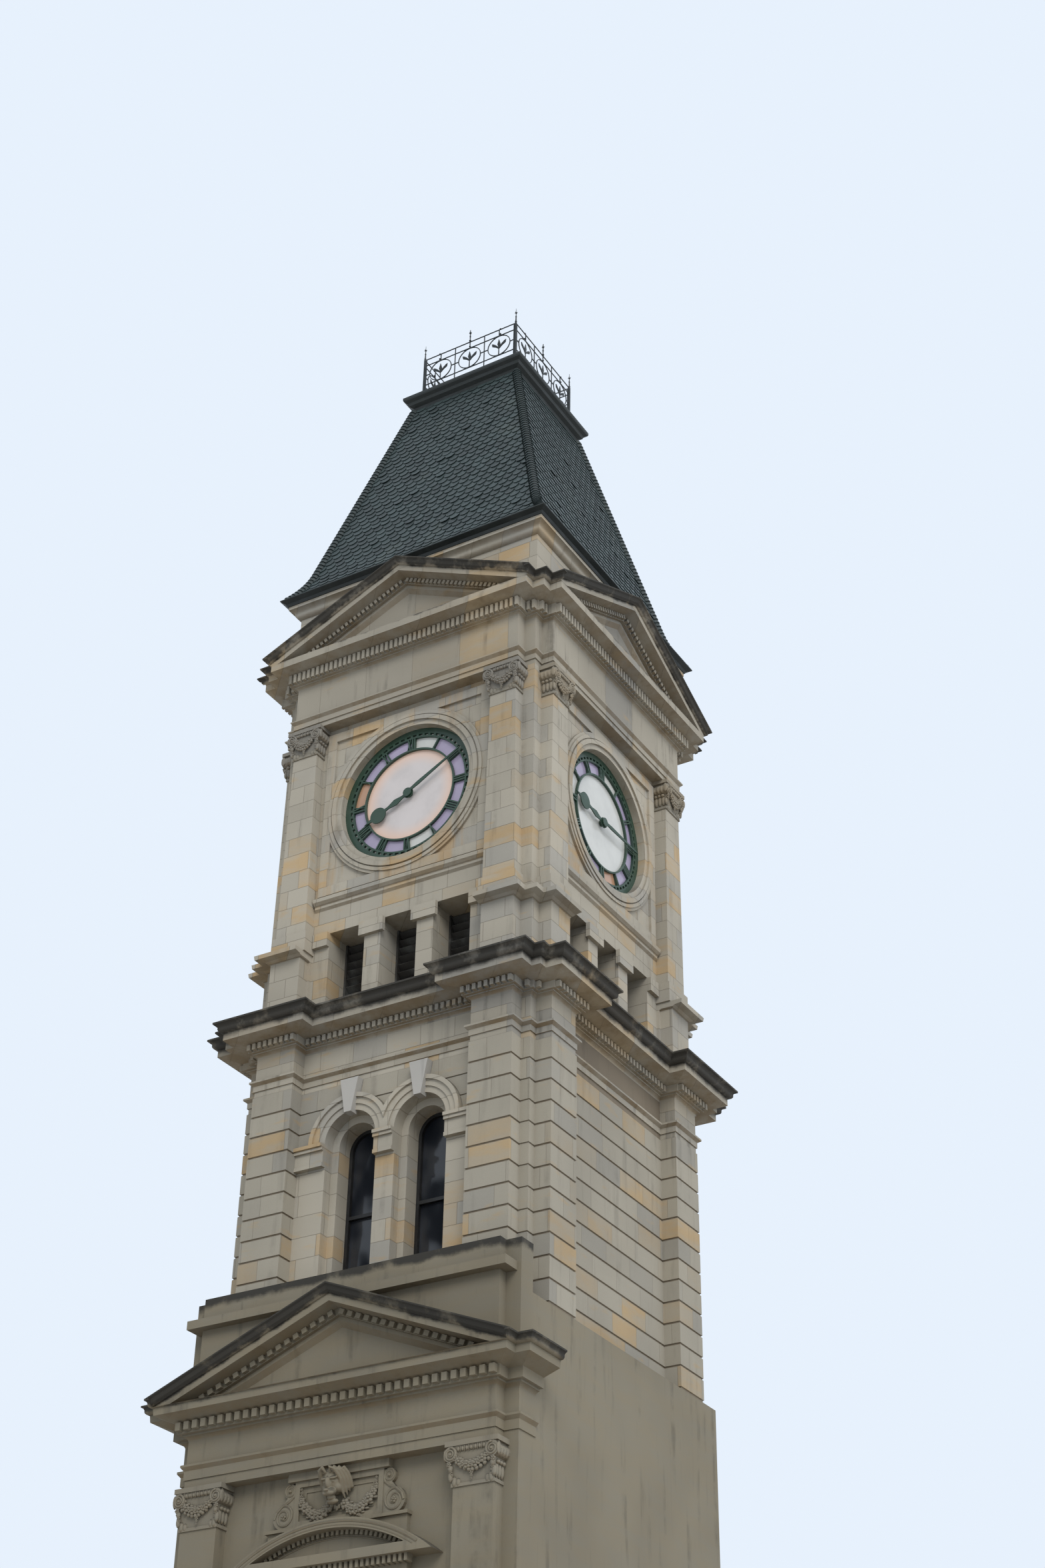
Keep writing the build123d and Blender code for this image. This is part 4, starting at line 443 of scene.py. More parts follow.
def glass_material(name, colour):
    """Panes with a dark room behind them: a glossy dark sheet with faint ripples."""
    made, tree, shader = new_material(name)
    ripple = noise(tree, object_coordinates(tree, (1.0, 1.0, 0.6)), 1.6, 2.0)
    tint = mix_colour(tree, ramp(tree, ripple, 0.35, 0.65), opaque(colour),
                      opaque([c * 1.8 + 0.01 for c in colour]))
    connect_named(tree, shader, {"Base Color": tint, "Roughness": 0.08,
                                 "Specular IOR Level": ramp(tree, ripple, 0.44, 0.58, 0.02, 0.5)})
    add_bump(tree, shader, product(tree, ripple, 0.02))
    return made


def pane_material(name, colour, rim=None):
    """Opal dial glass, slightly cloudy; a rim colour gathers towards the edge of the middle sheet."""
    made, tree, shader = new_material(name)
    coords = object_coordinates(tree)
    tint = mix_colour(tree, ramp(tree, noise(tree, coords, 2.4, 3.0), 0.35, 0.7), opaque(colour),
                      opaque([c * 0.9 for c in colour]))
    if rim is not None:
        place = split_vector(tree, coords)
        across = from_middle(tree, place)
        rise = math_node(tree, "SUBTRACT", place["Z"], DIAL_Z)
        squares = math_node(tree, "ADD", product(tree, across, across), product(tree, rise, rise))
        tint = mix_colour(tree, ramp(tree, math_node(tree, "SQRT", squares), 0.54, 0.90), tint, opaque(rim))
    # A faint emission gives the panes a painted glow, though they are no lamp.
    connect_named(tree, shader, {"Base Color": tint, "Emission Color": tint, "Emission Strength": 0.10,
                                 "Roughness": 0.22, "Coat Weight": 0.3})
    return made


# Light, warm and grey tones of the finishes that differ from the user's stone
WEATHERED = ((0.35, 0.32, 0.26), (0.385, 0.30, 0.19), (0.29, 0.275, 0.24))
CHANNELLED = ((0.335, 0.308, 0.25), (0.40, 0.295, 0.17), (0.30, 0.282, 0.24))
# Stucco tones set darker partly for dirty paint and partly as painted shade on the lower front.
STUCCO_WITH_SHADE = ((0.215, 0.195, 0.148), (0.23, 0.193, 0.128), (0.19, 0.176, 0.143))
CARVED_STONE = ((0.26, 0.24, 0.195), (0.28, 0.235, 0.17), (0.23, 0.215, 0.185))
CARVED_STUCCO = ((0.225, 0.207, 0.165), (0.24, 0.205, 0.145), (0.20, 0.19, 0.158))
# Painted shade: one dark tone for the wall seen in the sunk channels between rusticated courses.
CHANNEL_SHADE_TONES = ((0.20, 0.165, 0.12),) * 3
PALE_KEYSTONE = ((0.43, 0.415, 0.385),) * 3
BOARDS = ((0.3, 0.29, 0.27),) * 3


def stone_finishes():
    """What sets each stone and stucco finish apart."""
    stone = bpy.context.scene.tower_stone
    coursed = {"course": stone.course_height, "base": STRING_BOTTOM}
    ashlar = {**coursed, "length": stone.block_length}
    channelled = {**coursed, "length": 0.74}
    moulded = {"course": 3.0, "length": 0.95, "joint": 0.004, "streaks": 0.5, "growth": 0.9, "under": 0.75,
               "iron": 0.8, "colours": WEATHERED}
    plain = {"course": 30.0, "length": 30.0, "joint": 0.0, "base": -3.0}
    stucco = {**plain, "streaks": 0.35, "growth": 0.9, "under": 0.6, "iron": 0.25, "colours": STUCCO_WITH_SHADE}
    return {
        "ashlar": {**ashlar, "growth": 0.55},
        "dial stone": {**ashlar, "joint": 0.005, "streaks": 0.3, "growth": 0.5, "iron": 0.7, "runs": 0.62},
        "rusticated stone": {**channelled, "joint": 0.004, "streaks": 0.2, "growth": 0.4,
                             "colours": CHANNELLED},
        # Painted shade in the channels between the rusticated courses.
        "joint stone": {**channelled, "joint": 0.0, "colours": CHANNEL_SHADE_TONES},
        "moulded stone": moulded,
        "mid cornice": {**moulded, "growth": 0.95, "under": 0.8,
                        "band": (MID_TOP - 0.27, MID_TOP - 0.15, 0.0)},
        "clock cornice": {**moulded, "streaks": 0.45, "under": 0.7,
                          "band": (CLOCK_TOP - 0.15, CLOCK_TOP - 0.08, 0.0)},
        "clock gable": {**moulded, "streaks": 0.4, "under": 0.7,
                        "band": (CLOCK_APEX - 0.17, CLOCK_APEX - 0.11, 0.4587)},
        "pavilion cornice": {**stucco, "band": (PAVILION_TOP - 0.15, PAVILION_TOP - 0.07, 0.0)},
        "pavilion gable": {**stucco, "band": (PAVILION_APEX - 0.17, PAVILION_APEX - 0.11, 0.395)},
        "parapet stucco": {**stucco, "streaks": 0.5, "under": 0.5, "iron": 0.2,
                           "band": (PARAPET_TOP - 0.16, PARAPET_TOP - 0.06, 0.0)},
        "stucco": {**stucco, "growth": 0.7, "under": 0.5, "iron": 0.2},
        "carved stone": {**plain, "course": 6.0, "length": 6.0, "base": 0.0, "streaks": 0.3, "growth": 0.7,
                         "colours": CARVED_STONE},
        "carved stucco": {**plain, "streaks": 0.3, "growth": 0.7, "colours": CARVED_STUCCO},
        "keystone": {**plain, "streaks": 0.2, "growth": 0.5, "iron": 0.15, "colours": PALE_KEYSTONE},
        "floor": {**plain, "course": 8.0, "length": 8.0, "base": 0.0, "colours": BOARDS},
    }


def other_finishes():
    """Maker and settings of each paint, glass and slate."""
    dial, roof = bpy.context.scene.tower_dial, bpy.context.scene.tower_roof
    return {
        "door paint": (paint_material, (0.02, 0.05, 0.04), 0.15, 0.3),
        "sash paint": (paint_material, (0.007, 0.007, 0.007), 0.06),
        "louvre paint": (paint_material, (0.035, 0.033, 0.03), 0.5),
        "dial iron": (paint_material, dial.iron, 0.12, 0.2),
        "roof metal": (paint_material, roof.metal, 0.08, 0.05),
        "cresting iron": (paint_material, (0.006, 0.010, 0.011), 0.05),
        "window glass": (glass_material, (0.012, 0.014, 0.018)),
        "slate": (slate_material, roof.slate),
        "white pane": (pane_material, (0.54, 0.545, 0.52)),
        "lilac pane": (pane_material, (0.35, 0.305, 0.43)),
        "orange pane": (pane_material, (0.43, 0.25, 0.155)),
        "rose pane": (pane_material, (0.57, 0.53, 0.52), (0.70, 0.49, 0.38)),
    }


MATERIALS = {}


def material(name):
    """A finish by its name, built when first asked for."""
    if name not in MATERIALS:
        stones = stone_finishes()
        if name in stones:
            MATERIALS[name] = stone_material(name, **stones[name])
        else:
            maker, *settings = other_finishes()[name]
            MATERIALS[name] = maker(name, *settings)
    return MATERIALS[name]


# Piece building

def add_piece(name, source, finishes, body=STATIC_BODY, smooth=False, replaced=()):
    """Turns a bmesh into a finished piece that rides on a body."""
    mesh = bpy.data.meshes.new(name)
    bmesh.ops.recalc_face_normals(source, faces=source.faces)
    source.to_mesh(mesh)
    source.free()
    piece = bpy.data.objects.new(name, mesh)
    bpy.context.scene.collection.objects.link(piece)
    for finish in ([finishes] if isinstance(finishes, str) else finishes):
        mesh.materials.append(material(finish))
    if smooth:
        mesh.shade_smooth()
    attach(piece, body)
    if replaced:
        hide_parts(*replaced)
    return piece


def add_ball(source, centre, size, turn=None, detail=2):
    """A rounded lump; size holds its three half-widths, or one radius."""
    widths = (size,) * 3 if isinstance(size, (int, float)) else size
    place = (turn or Matrix()) @ Matrix.Translation(centre) @ Matrix.Diagonal((*widths, 1))
    bmesh.ops.create_icosphere(source, subdivisions=detail, radius=1.0, matrix=place)


def add_tube(source, points, radii, sides=6, turn=None):
    """A round bar along a path in an XZ plane, with a radius at each point."""
    normal = Vector((0, 1, 0))
    points = [Vector(point) for point in points]
    rings = []
    for index, point in enumerate(points):
        ahead = (points[min(index + 1, len(points) - 1)] - points[max(index - 1, 0)]).normalized()
        facing = Matrix((normal.cross(ahead), normal, ahead)).transposed().to_4x4()
        place = (turn or Matrix()) @ Matrix.Translation(point) @ facing
        made = bmesh.ops.create_circle(source, cap_ends=index in (0, len(points) - 1), segments=sides,
                                       radius=radii[index], matrix=place)
        rings.append({edge for vert in made["verts"] for edge in vert.link_edges})
    for first, second in zip(rings, rings[1:]):
        bmesh.ops.bridge_loops(source, edges=list(first | second))


def spiral(centre, start_radius, end_radius, turns, steps):
    """Points of a spiral in the XZ plane, wound from its top towards its centre."""
    points = []
    for index in range(steps + 1):
        share = index / steps
        radius = start_radius + (end_radius - start_radius) * share
        angle = math.pi / 2 + 2 * math.pi * turns * share
        points.append(Vector(centre) + Vector((radius * math.cos(angle), 0, radius * math.sin(angle))))
    return points


def add_rose(source, centre, size, petals=5, spin=0.0):
    """A carved flower: a ring of petals round a raised middle, facing -Y."""
    for index in range(petals):
        angle = spin + 2 * math.pi * index / petals
        reach = 0.62 * size
        place = Vector(centre) + Vector((reach * math.cos(angle), 0.0, reach * math.sin(angle)))
        add_ball(source, place, (0.46 * size, 0.34 * size, 0.46 * size))
    add_ball(source, Vector(centre) - Vector((0, 0.28 * size, 0)), 0.34 * size)


def add_box(source, low, high, turn=None):
    """An upright box between two opposite corners, turned afterwards if a matrix is given."""
    low, high = Vector(low), Vector(high)
    size = [abs(width) for width in high - low]
    place = Matrix.Translation((low + high) / 2) @ Matrix.Diagonal((*size, 1))
    bmesh.ops.create_cube(source, size=1.0, matrix=(turn or Matrix()) @ place)


def add_prism(source, outline, low, high, turn=None, finish=0):
    """Extrudes an XY outline from one height to another."""
    verts = [source.verts.new((x, y, low)) for x, y in outline]
    base = source.faces.new(verts)
    grown = bmesh.ops.extrude_face_region(source, geom=[base])["geom"]
    tops = [item for item in grown if isinstance(item, bmesh.types.BMVert)]
    bmesh.ops.translate(source, verts=tops, vec=(0, 0, high - low))
    every = verts + tops
    for face in {face for vert in every for face in vert.link_faces}:
        face.material_index = finish
    if turn is not None:
        bmesh.ops.transform(source, matrix=turn, verts=every)


def quarter_turns():
    return [Matrix.Rotation(math.radians(90 * turn), 4, "Z") for turn in range(4)]


def both_hands(turns):
    """The turns, each with its mirror image across the middle of its face."""
    flip = Matrix.Scale(-1, 4, (1, 0, 0))
    return [turn @ hand for turn in turns for hand in (Matrix(), flip)]


def repeat(part, turns, source=None):
    """Placed copies of a finished part, in a new bmesh unless one is given; the part is freed."""
    if source is None:
        source = bmesh.new()
    mesh = bpy.data.meshes.new("repeated part")
    part.to_mesh(mesh)
    part.free()
    for turn in turns:
        before = len(source.verts)
        source.from_mesh(mesh)
        source.verts.ensure_lookup_table()
        bmesh.ops.transform(source, matrix=turn, verts=source.verts[before:])
    bpy.data.meshes.remove(mesh)
    return source


def chamfer(source, edges, width):
    bmesh.ops.bevel(source, geom=edges, offset=width, affect="EDGES", segments=1, profile=0.5,
                    material=-1)


# Operators

class TOWER_OT_stage(bpy.types.Operator):
    """Sets up the floor, lights, world and the photograph's camera."""
    bl_idname = "tower.stage"
    bl_label = "Stage"

    eye: FloatVectorProperty(name="Eye", description="Camera position", default=(18.228, -28.749, 1.600),
                             size=3, unit="LENGTH")
    yaw: angle_setting("Yaw", "Turn to the left of +Y", 31.274)
    pitch: angle_setting("Pitch", "Tilt above the horizon", 33.697)
    roll: angle_setting("Roll", "Turn about the view", 1.111)
    lens: FloatProperty(name="Lens", description="Focal length on a sensor 36 mm tall", default=53.18)

    def execute(self, context):
        self.add_camera(context.scene)
        self.add_floor(context.scene)
        self.add_suns(context.scene)
        self.add_sky(context.scene)
        context.scene.view_settings.view_transform = "Standard"
        return {"FINISHED"}

    def add_camera(self, scene):
        camera_data = bpy.data.cameras.new("photograph camera")
        camera_data.sensor_fit = "VERTICAL"
        camera_data.sensor_height = 36.0
        camera_data.sensor_width = 24.0
        camera_data.lens = self.lens
        camera_data.clip_end = 500.0
        camera = bpy.data.objects.new("photograph camera", camera_data)
        aim = Matrix.Rotation(self.yaw, 4, "Z") @ Matrix.Rotation(math.pi / 2 + self.pitch, 4, "X")
        camera.matrix_world = Matrix.Translation(self.eye) @ aim @ Matrix.Rotation(self.roll, 4, "Z")
        scene.collection.objects.link(camera)
        scene.camera = camera

    def add_floor(self, scene):
        source = bmesh.new()
        bmesh.ops.create_grid(source, x_segments=1, y_segments=1, size=160.0)
        mesh = bpy.data.meshes.new("floor")
        source.to_mesh(mesh)
        source.free()
        floor = bpy.data.objects.new("floor", mesh)
        scene.collection.objects.link(floor)
        finish, tree, shader = new_material("pale floor")
        connect_named(tree, shader, {"Base Color": (0.62, 0.62, 0.61, 1), "Roughness": 0.9})
        mesh.materials.append(finish)

    def add_suns(self, scene):
        for name, energy, angle, colour, direction in (
                ("key sun", 1.34, 30.0, (1.0, 0.97, 0.92), (-0.55, 0.75, -0.62)),
                ("side sun", 0.87, 60.0, (0.98, 0.98, 1.0), (-0.95, 0.10, -0.35))):
            data = bpy.data.lights.new(name, "SUN")
            data.energy = energy
            data.angle = math.radians(angle)
            data.color = colour
            lamp = bpy.data.objects.new(name, data)
            lamp.rotation_euler = Vector(direction).to_track_quat("-Z", "Y").to_euler()
            scene.collection.objects.link(lamp)

    def add_sky(self, scene):
        """A soft sky, brighter where the camera, a reflection or a pane shows it than where it lights."""
        world = bpy.data.worlds.new("soft sky")
        scene.world = world
        world.use_nodes = True
        tree = world.node_tree
        lighting = next(node for node in tree.nodes if node.type == "BACKGROUND")
        connect_named(tree, lighting, {"Color": (0.86, 0.92, 1.0, 1), "Strength": 0.62})
        shown = tree.nodes.new("ShaderNodeBackground")
        connect_named(tree, shown, {"Color": (0.80, 0.88, 0.98, 1), "Strength": 1.0})
        path = tree.nodes.new("ShaderNodeLightPath").outputs
        seen = math_node(tree, "MAXIMUM", path["Is Camera Ray"], path["Is Glossy Ray"])
        mixed = tree.nodes.new("ShaderNodeMixShader")
        tree.links.new(math_node(tree, "MAXIMUM", seen, path["Is Transmission Ray"]), mixed.inputs[0])
        tree.links.new(lighting.outputs[0], mixed.inputs[1])
        tree.links.new(shown.outputs[0], mixed.inputs[2])
        output = next(node for node in tree.nodes if node.type == "OUTPUT_WORLD")
        tree.links.new(mixed.outputs[0], output.inputs["Surface"])


class TOWER_OT_finishes(bpy.types.Operator):
    """Gives every CAD node its material."""
    bl_idname = "tower.finishes"
    bl_label = "Finishes"

    def execute(self, context):
        finishes = {
            "ashlar": ["shaft_window_walls", "louvre_sill_course", "louvre_corners", "louvre_piers",
                       "louvre_band", "clock_pilasters", "attic", "corner_pedestals"],
            "dial stone": ["clock_walls_front_back", "clock_walls_sides", "dial_surrounds"],
            "rusticated stone": ["window_arches"],
            # Painted shade: the piers and side walls behind the courses show only in the channels.
            "joint stone": ["rusticated_piers", "shaft_side_walls"],
            "mid cornice": ["mid_entablature"],
            "clock cornice": ["clock_entablature"],
            "clock gable": ["clock_pediments"],
            "carved stone": ["clock_capitals"],
            "carved stucco": ["pavilion_capitals"],
            "pavilion cornice": ["pavilion_entablature"],
            "pavilion gable": ["pavilion_pediment"],
            "parapet stucco": ["parapet"],
            "stucco": ["ground_front_wall", "storey_band", "first_front_wall", "window_surround",
                       "pavilion_pilasters", "cartouche_panel", "party_walls", "base_back_wall",
                       "base_plinth", "door_surround", "roof_deck"],
            "floor": ["floor_slabs"],
            "door paint": ["entrance_doors"],
            "sash paint": ["window_sashes"],
            "louvre paint": ["louvre_blades"],
            "window glass": ["window_glass"],
            "white pane": ["dial_glass"],
            "dial iron": ["dial_frames", "front_minute_hand", "front_hour_hand", "right_minute_hand",
                          "right_hour_hand", "far_dial_hands"],
            "slate": ["mansard_roof"],
            "roof metal": ["gutter", "roof_cap", "hip_rolls"],
            "cresting iron": ["cresting_panels", "cresting_posts"],
        }
        for name, nodes in finishes.items():
            for node in nodes:
                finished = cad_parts[node].data.materials
                finished.clear()
                finished.append(material(name))
        return {"FINISHED"}


class TOWER_OT_rustication(bpy.types.Operator):
    """Lays the rusticated courses on the piers, corners and side walls of the lower stage."""
    bl_idname = "tower.rustication"
    bl_label = "Rustication"

    back: length_setting("Back", "Depth that the courses reach behind the wall's face", 0.1)

    def execute(self, context):
        stone = context.scene.tower_stone
        flank = PIER_INNER - PIER_WIDTH
        wall, buried = SHAFT_HALF + stone.stand, SHAFT_HALF - self.back
        pier, side, near = PIER_FACE + stone.stand, PIER_INNER + stone.stand, flank - stone.stand
        corner = [(near, -buried), (near, -pier), (side, -pier), (side, -wall), (wall, -wall),
                  (wall, -side), (pier, -side), (pier, -near), (buried, -near), (buried, -buried)]
        source = bmesh.new()
        for index in range(math.ceil((STRING_BOTTOM - DECK_TOP) / stone.course_height)):
            top = STRING_BOTTOM - index * stone.course_height - (stone.channel if index else 0.0)
            bottom = max(STRING_BOTTOM - (index + 1) * stone.course_height, DECK_TOP)
            if top - bottom < 0.05:
                continue
            for turn in quarter_turns():
                add_prism(source, corner, bottom, top, turn)
            for hand in (-1, 1):
                add_box(source, (hand * buried, -flank, bottom), (hand * wall, flank, top))
        level_edges = [edge for edge in source.edges
                       if abs(edge.verts[0].co.z - edge.verts[1].co.z) < 1e-6]
        chamfer(source, level_edges, 0.007)
        add_piece("rusticated_courses", source, "rusticated stone")
        return {"FINISHED"}


class TOWER_OT_dentils(bpy.types.Operator):
    """Sets the rows of dentils under the three cornices, along the pediments and in the window's hood."""
    bl_idname = "tower.dentils"
    bl_label = "Dentils"

    def row(self, source, start, end, low, high, pitch, width, depth, out):
        """Blocks from start to end in plan, standing out towards out."""
        start, end, out = Vector(start), Vector(end), Vector(out)
        length = (end - start).length
        count = max(1, round(length / pitch))
        along = (end - start) / length
        for index in range(count):
            middle = start + along * (index + 0.5) * length / count
            near = middle - along * width / 2
            far = middle + along * width / 2 + out * depth
            add_box(source, (*near, low), (*far, high))

    def rake(self, source, face, corner, apex, pitch, width, turns):
        """Blocks square to the slope, from a pediment's corner to its apex, on both sides."""
        run, rise = corner[0], apex - corner[1]
        length, slope = math.hypot(run, rise), math.atan2(rise, run)
        place = Matrix.Translation((-run, 0, corner[1])) @ Matrix.Rotation(-slope, 4, "Y")
        part = bmesh.new()
        start, end = 0.50, length - 0.36 * rise / run
        count = round((end - start) / pitch)
        for index in range(count):
            middle = start + (index + 0.5) * (end - start) / count
            add_box(part, (middle - width / 2, -face - 0.185, -0.335),
                    (middle + width / 2, -face - 0.09, -0.258), place)
        repeat(part, both_hands(turns), source)

    def hood(self, source):
        """Small blocks under the arc and along the foot of the window's hood, and the arc's mouldings."""
        count, half_width, spread = 33, 0.022, 59.0
        radius = HOOD_RADIUS - 0.135
        for index in range(count):
            angle = math.radians(spread * ((index + 0.5) / count - 0.5))
            turn = Matrix.Translation((0, 0, HOOD_CENTRE)) @ Matrix.Rotation(angle, 4, "Y")
            add_box(source, (-half_width, -BASE_FRONT - 0.165, radius - 0.055),
                    (half_width, -BASE_FRONT - 0.10, radius + 0.01), turn)
        foot = -BASE_FRONT - 0.10
        self.row(source, (-1.28, foot), (1.28, foot), HOOD_TOP - 0.68, HOOD_TOP - 0.575, 0.085, 0.045,
                 0.14, (0, -1))
        for inset, stand, reach, thick in ((0.045, 0.298, 33.0, 0.020), (0.100, 0.298, 32.0, 0.009),
                                           (0.215, 0.112, 28.0, 0.012)):
            radius = HOOD_RADIUS - inset
            angles = [math.radians(-reach + 2 * reach * index / 40) for index in range(41)]
            path = [(radius * math.sin(angle), -BASE_FRONT - stand, HOOD_CENTRE + radius * math.cos(angle))
                    for angle in angles]
            add_tube(source, path, [thick] * 41)

    def ring(self, source, inner, half, outer, stand, low, high, pitch, width, depth, recess=None):
        """Rows round the four sides; outer is the face of the corner pilasters and half that between them."""
        part = bmesh.new()
        a, b, w = inner + stand, outer + stand, half + stand
        runs = [((a, -w), (w, -w), (0, -1)), ((w, -w), (w, -a), (1, 0))]
        if recess is None:
            runs.append(((-a, -b), (a, -b), (0, -1)))
        else:
            gap = inner - recess - stand
            runs += [((gap, -b), (a, -b), (0, -1)), ((-a, -b), (-gap, -b), (0, -1)),
                     ((-gap, -w), (gap, -w), (0, -1))]
        for first, last, out in runs:
            self.row(part, first, last, low, high, pitch, width, depth, out)
        repeat(part, quarter_turns(), source)

    def execute(self, context):
        source = bmesh.new()
        stage_face = STAGE_HALF + PILASTER_STAND
        self.ring(source, STAGE_HALF - 0.21, STAGE_HALF, stage_face, 0.11, CLOCK_TOP - 0.51,
                  CLOCK_TOP - 0.335, 0.095, 0.055, 0.075)
        self.ring(source, PIER_INNER, SHAFT_HALF, PIER_FACE, 0.11, MID_TOP - 0.455, MID_TOP - 0.355, 0.105,
                  0.06, 0.08, recess=PIER_WIDTH)
        self.rake(source, stage_face, (2.725, CLOCK_TOP), CLOCK_APEX, 0.095, 0.055, quarter_turns())
        add_piece("shaft_dentils", source, "moulded stone")
        source = bmesh.new()
        front = BASE_FRONT + PILASTER_STAND
        self.row(source, (-2.677, -front - 0.13), (2.677, -front - 0.13), PAVILION_TOP - 0.445,
                 PAVILION_TOP - 0.33, 0.15, 0.085, 0.085, (0, -1))
        gable_corner = (highest("pavilion_pediment").x, PAVILION_TOP)
        self.rake(source, front, gable_corner, PAVILION_APEX, 0.15, 0.085, [Matrix()])
        self.hood(source)
        add_piece("pavilion_dentils", source, "stucco")
        return {"FINISHED"}


class TOWER_OT_dials(bpy.types.Operator):
    """Glazes the four dials with coloured panes."""
    bl_idname = "tower.dials"
    bl_label = "Dials"

    front_panes = "white lilac lilac lilac lilac white lilac lilac lilac orange lilac lilac"
    side_panes = "white lilac lilac lilac lilac orange lilac lilac white white lilac lilac"
    colours = ("white", "lilac", "orange", "rose")

    def pane(self, source, face, first, last, low, high, colour, steps):
        """Glass between two clockwise angles and two radii, or a whole sheet where low is None."""
        angles = [math.radians(90 - first - (last - first) * index / steps) for index in range(steps + 1)]
        if low:
            outline = [(low * math.cos(a), low * math.sin(a)) for a in angles]
            outline += [(high * math.cos(a), high * math.sin(a)) for a in reversed(angles)]
        else:
            outline = [(high * math.cos(a), high * math.sin(a)) for a in reversed(angles[:-1])]
        add_prism(source, outline, -0.057, -0.0475, face, self.colours.index(colour))

    def execute(self, context):
        dial = context.scene.tower_dial
        glass = bmesh.new()
        for index, face_turn in enumerate(quarter_turns()):
            on_side = index % 2 == 1
            stand = Matrix.Translation((0, -DIAL_FACE, DIAL_Z)) @ Matrix.Rotation(math.radians(90), 4, "X")
            face = face_turn @ stand
            for hour, colour in enumerate((self.side_panes if on_side else self.front_panes).split()):
                first, last = 30 * hour, 30 * (hour + 1)
                self.pane(glass, face, first, last, dial.centre_radius, dial.band_radius, colour, 6)
                self.pane(glass, face, first, last, dial.band_radius, dial.glass_radius, "white", 6)
            self.pane(glass, face, 0, 360, None, dial.centre_radius, "white" if on_side else "rose", 96)
        add_piece("dial_panes", glass, [f"{colour} pane" for colour in self.colours],
                  replaced=("dial_glass",))
        return {"FINISHED"}


class TOWER_OT_spandrels(bpy.types.Operator):
    """Lays the channelled courses over the paired windows, cut to the archivolts and keystones."""
    bl_idname = "tower.spandrels"
    bl_label = "Spandrels"

    reach: length_setting("Arch reach", "Radius that the courses keep clear of", 0.737)

    def blocked(self, height):
        """Half-width taken up by the archivolt or the keystone at a height."""
        rise = height - ARCH_SPRING
        arch = math.sqrt(max(self.reach ** 2 - rise ** 2, 0.0))
        keystone = 0.10 + 0.075 * (rise - 0.40) / 0.56 if rise > 0.40 else 0.0
        return max(arch, keystone)

    def execute(self, context):
        stone = context.scene.tower_stone
        meeting = ARCH_SPRING + math.sqrt(self.reach ** 2 - ARCH_X ** 2) + 0.03
        part = bmesh.new()
        upright = Matrix.Rotation(math.radians(90), 4, "X")
        for course in range(3):
            top = STRING_BOTTOM - course * stone.course_height - (stone.channel if course else 0.0)
            bottom = max(STRING_BOTTOM - (course + 1) * stone.course_height, ARCH_SPRING)
            for hand, edge, start in ((-1, PIER_WIDTH - PIER_INNER, bottom),
                                      (1, 0.0, max(bottom, meeting))):
                if start >= top:
                    continue
                levels = [start + (top - start) * index / 8 for index in range(9)]
                outline = [(hand * self.blocked(level) - ARCH_X, level) for level in levels]
                outline += [(edge, top), (edge, start)]
                add_prism(part, outline, SHAFT_HALF - 0.02, SHAFT_HALF + stone.stand, upright)
        source = repeat(part, both_hands(quarter_turns()[::2]))
        add_piece("spandrel_courses", source, "rusticated stone")
        return {"FINISHED"}


class TOWER_OT_arches(bpy.types.Operator):
    """Builds the archivolts, imposts and keystones of the paired windows."""
    bl_idname = "tower.arches"
    bl_label = "Window arches"

    def archivolt(self, part, upright):
        """Three steps of moulding round one arch, met by its neighbour on the middle line."""
        for inner, outer, stand in ((ARCH_RADIUS, 0.557, 0.045), (0.557, 0.66, 0.070), (0.66, 0.73, 0.105)):
            outline = []
            for radius, order in ((inner, range(33)), (outer, range(32, -1, -1))):
                reach = math.acos(-ARCH_X / radius) if radius > ARCH_X else math.pi
                angles = [reach * index / 32 for index in order]
                outline += [(ARCH_X + radius * math.cos(angle), ARCH_SPRING + radius * math.sin(angle))
                            for angle in angles]
            if inner <= ARCH_X < outer:
                outline.insert(33, (0.0, ARCH_SPRING))
            add_prism(part, outline, SHAFT_HALF, SHAFT_HALF + stand, upright)

    def impost(self, part, near, far):
        """Necking, body and two-step cap between two sides."""
        for bottom, top, stand in ((-0.37, -0.31, 0.090), (-0.31, -0.11, 0.070), (-0.11, -0.055, 0.110),
                                   (-0.055, 0.0, 0.135)):
            add_box(part, (near, -SHAFT_HALF - stand, ARCH_SPRING + bottom),
                    (far, -SHAFT_HALF, ARCH_SPRING + top))

    def execute(self, context):
        upright = Matrix.Rotation(math.radians(90), 4, "X")
        part = bmesh.new()
        self.archivolt(part, upright)
        self.impost(part, 0.0, ARCH_X - ARCH_RADIUS)
        self.impost(part, ARCH_X + ARCH_RADIUS, PIER_INNER - PIER_WIDTH)
        keystone = [(ARCH_X - 0.062, ARCH_SPRING + 0.40), (ARCH_X + 0.062, ARCH_SPRING + 0.40),
                    (ARCH_X + 0.165, STRING_BOTTOM), (ARCH_X - 0.165, STRING_BOTTOM)]
        add_prism(part, keystone, SHAFT_HALF - 0.01, SHAFT_HALF + 0.15, upright, 1)
        source = repeat(part, both_hands(quarter_turns()[::2]))
        add_piece("arch_dressings", source, ["ashlar", "keystone"], replaced=("window_arches",))
        return {"FINISHED"}


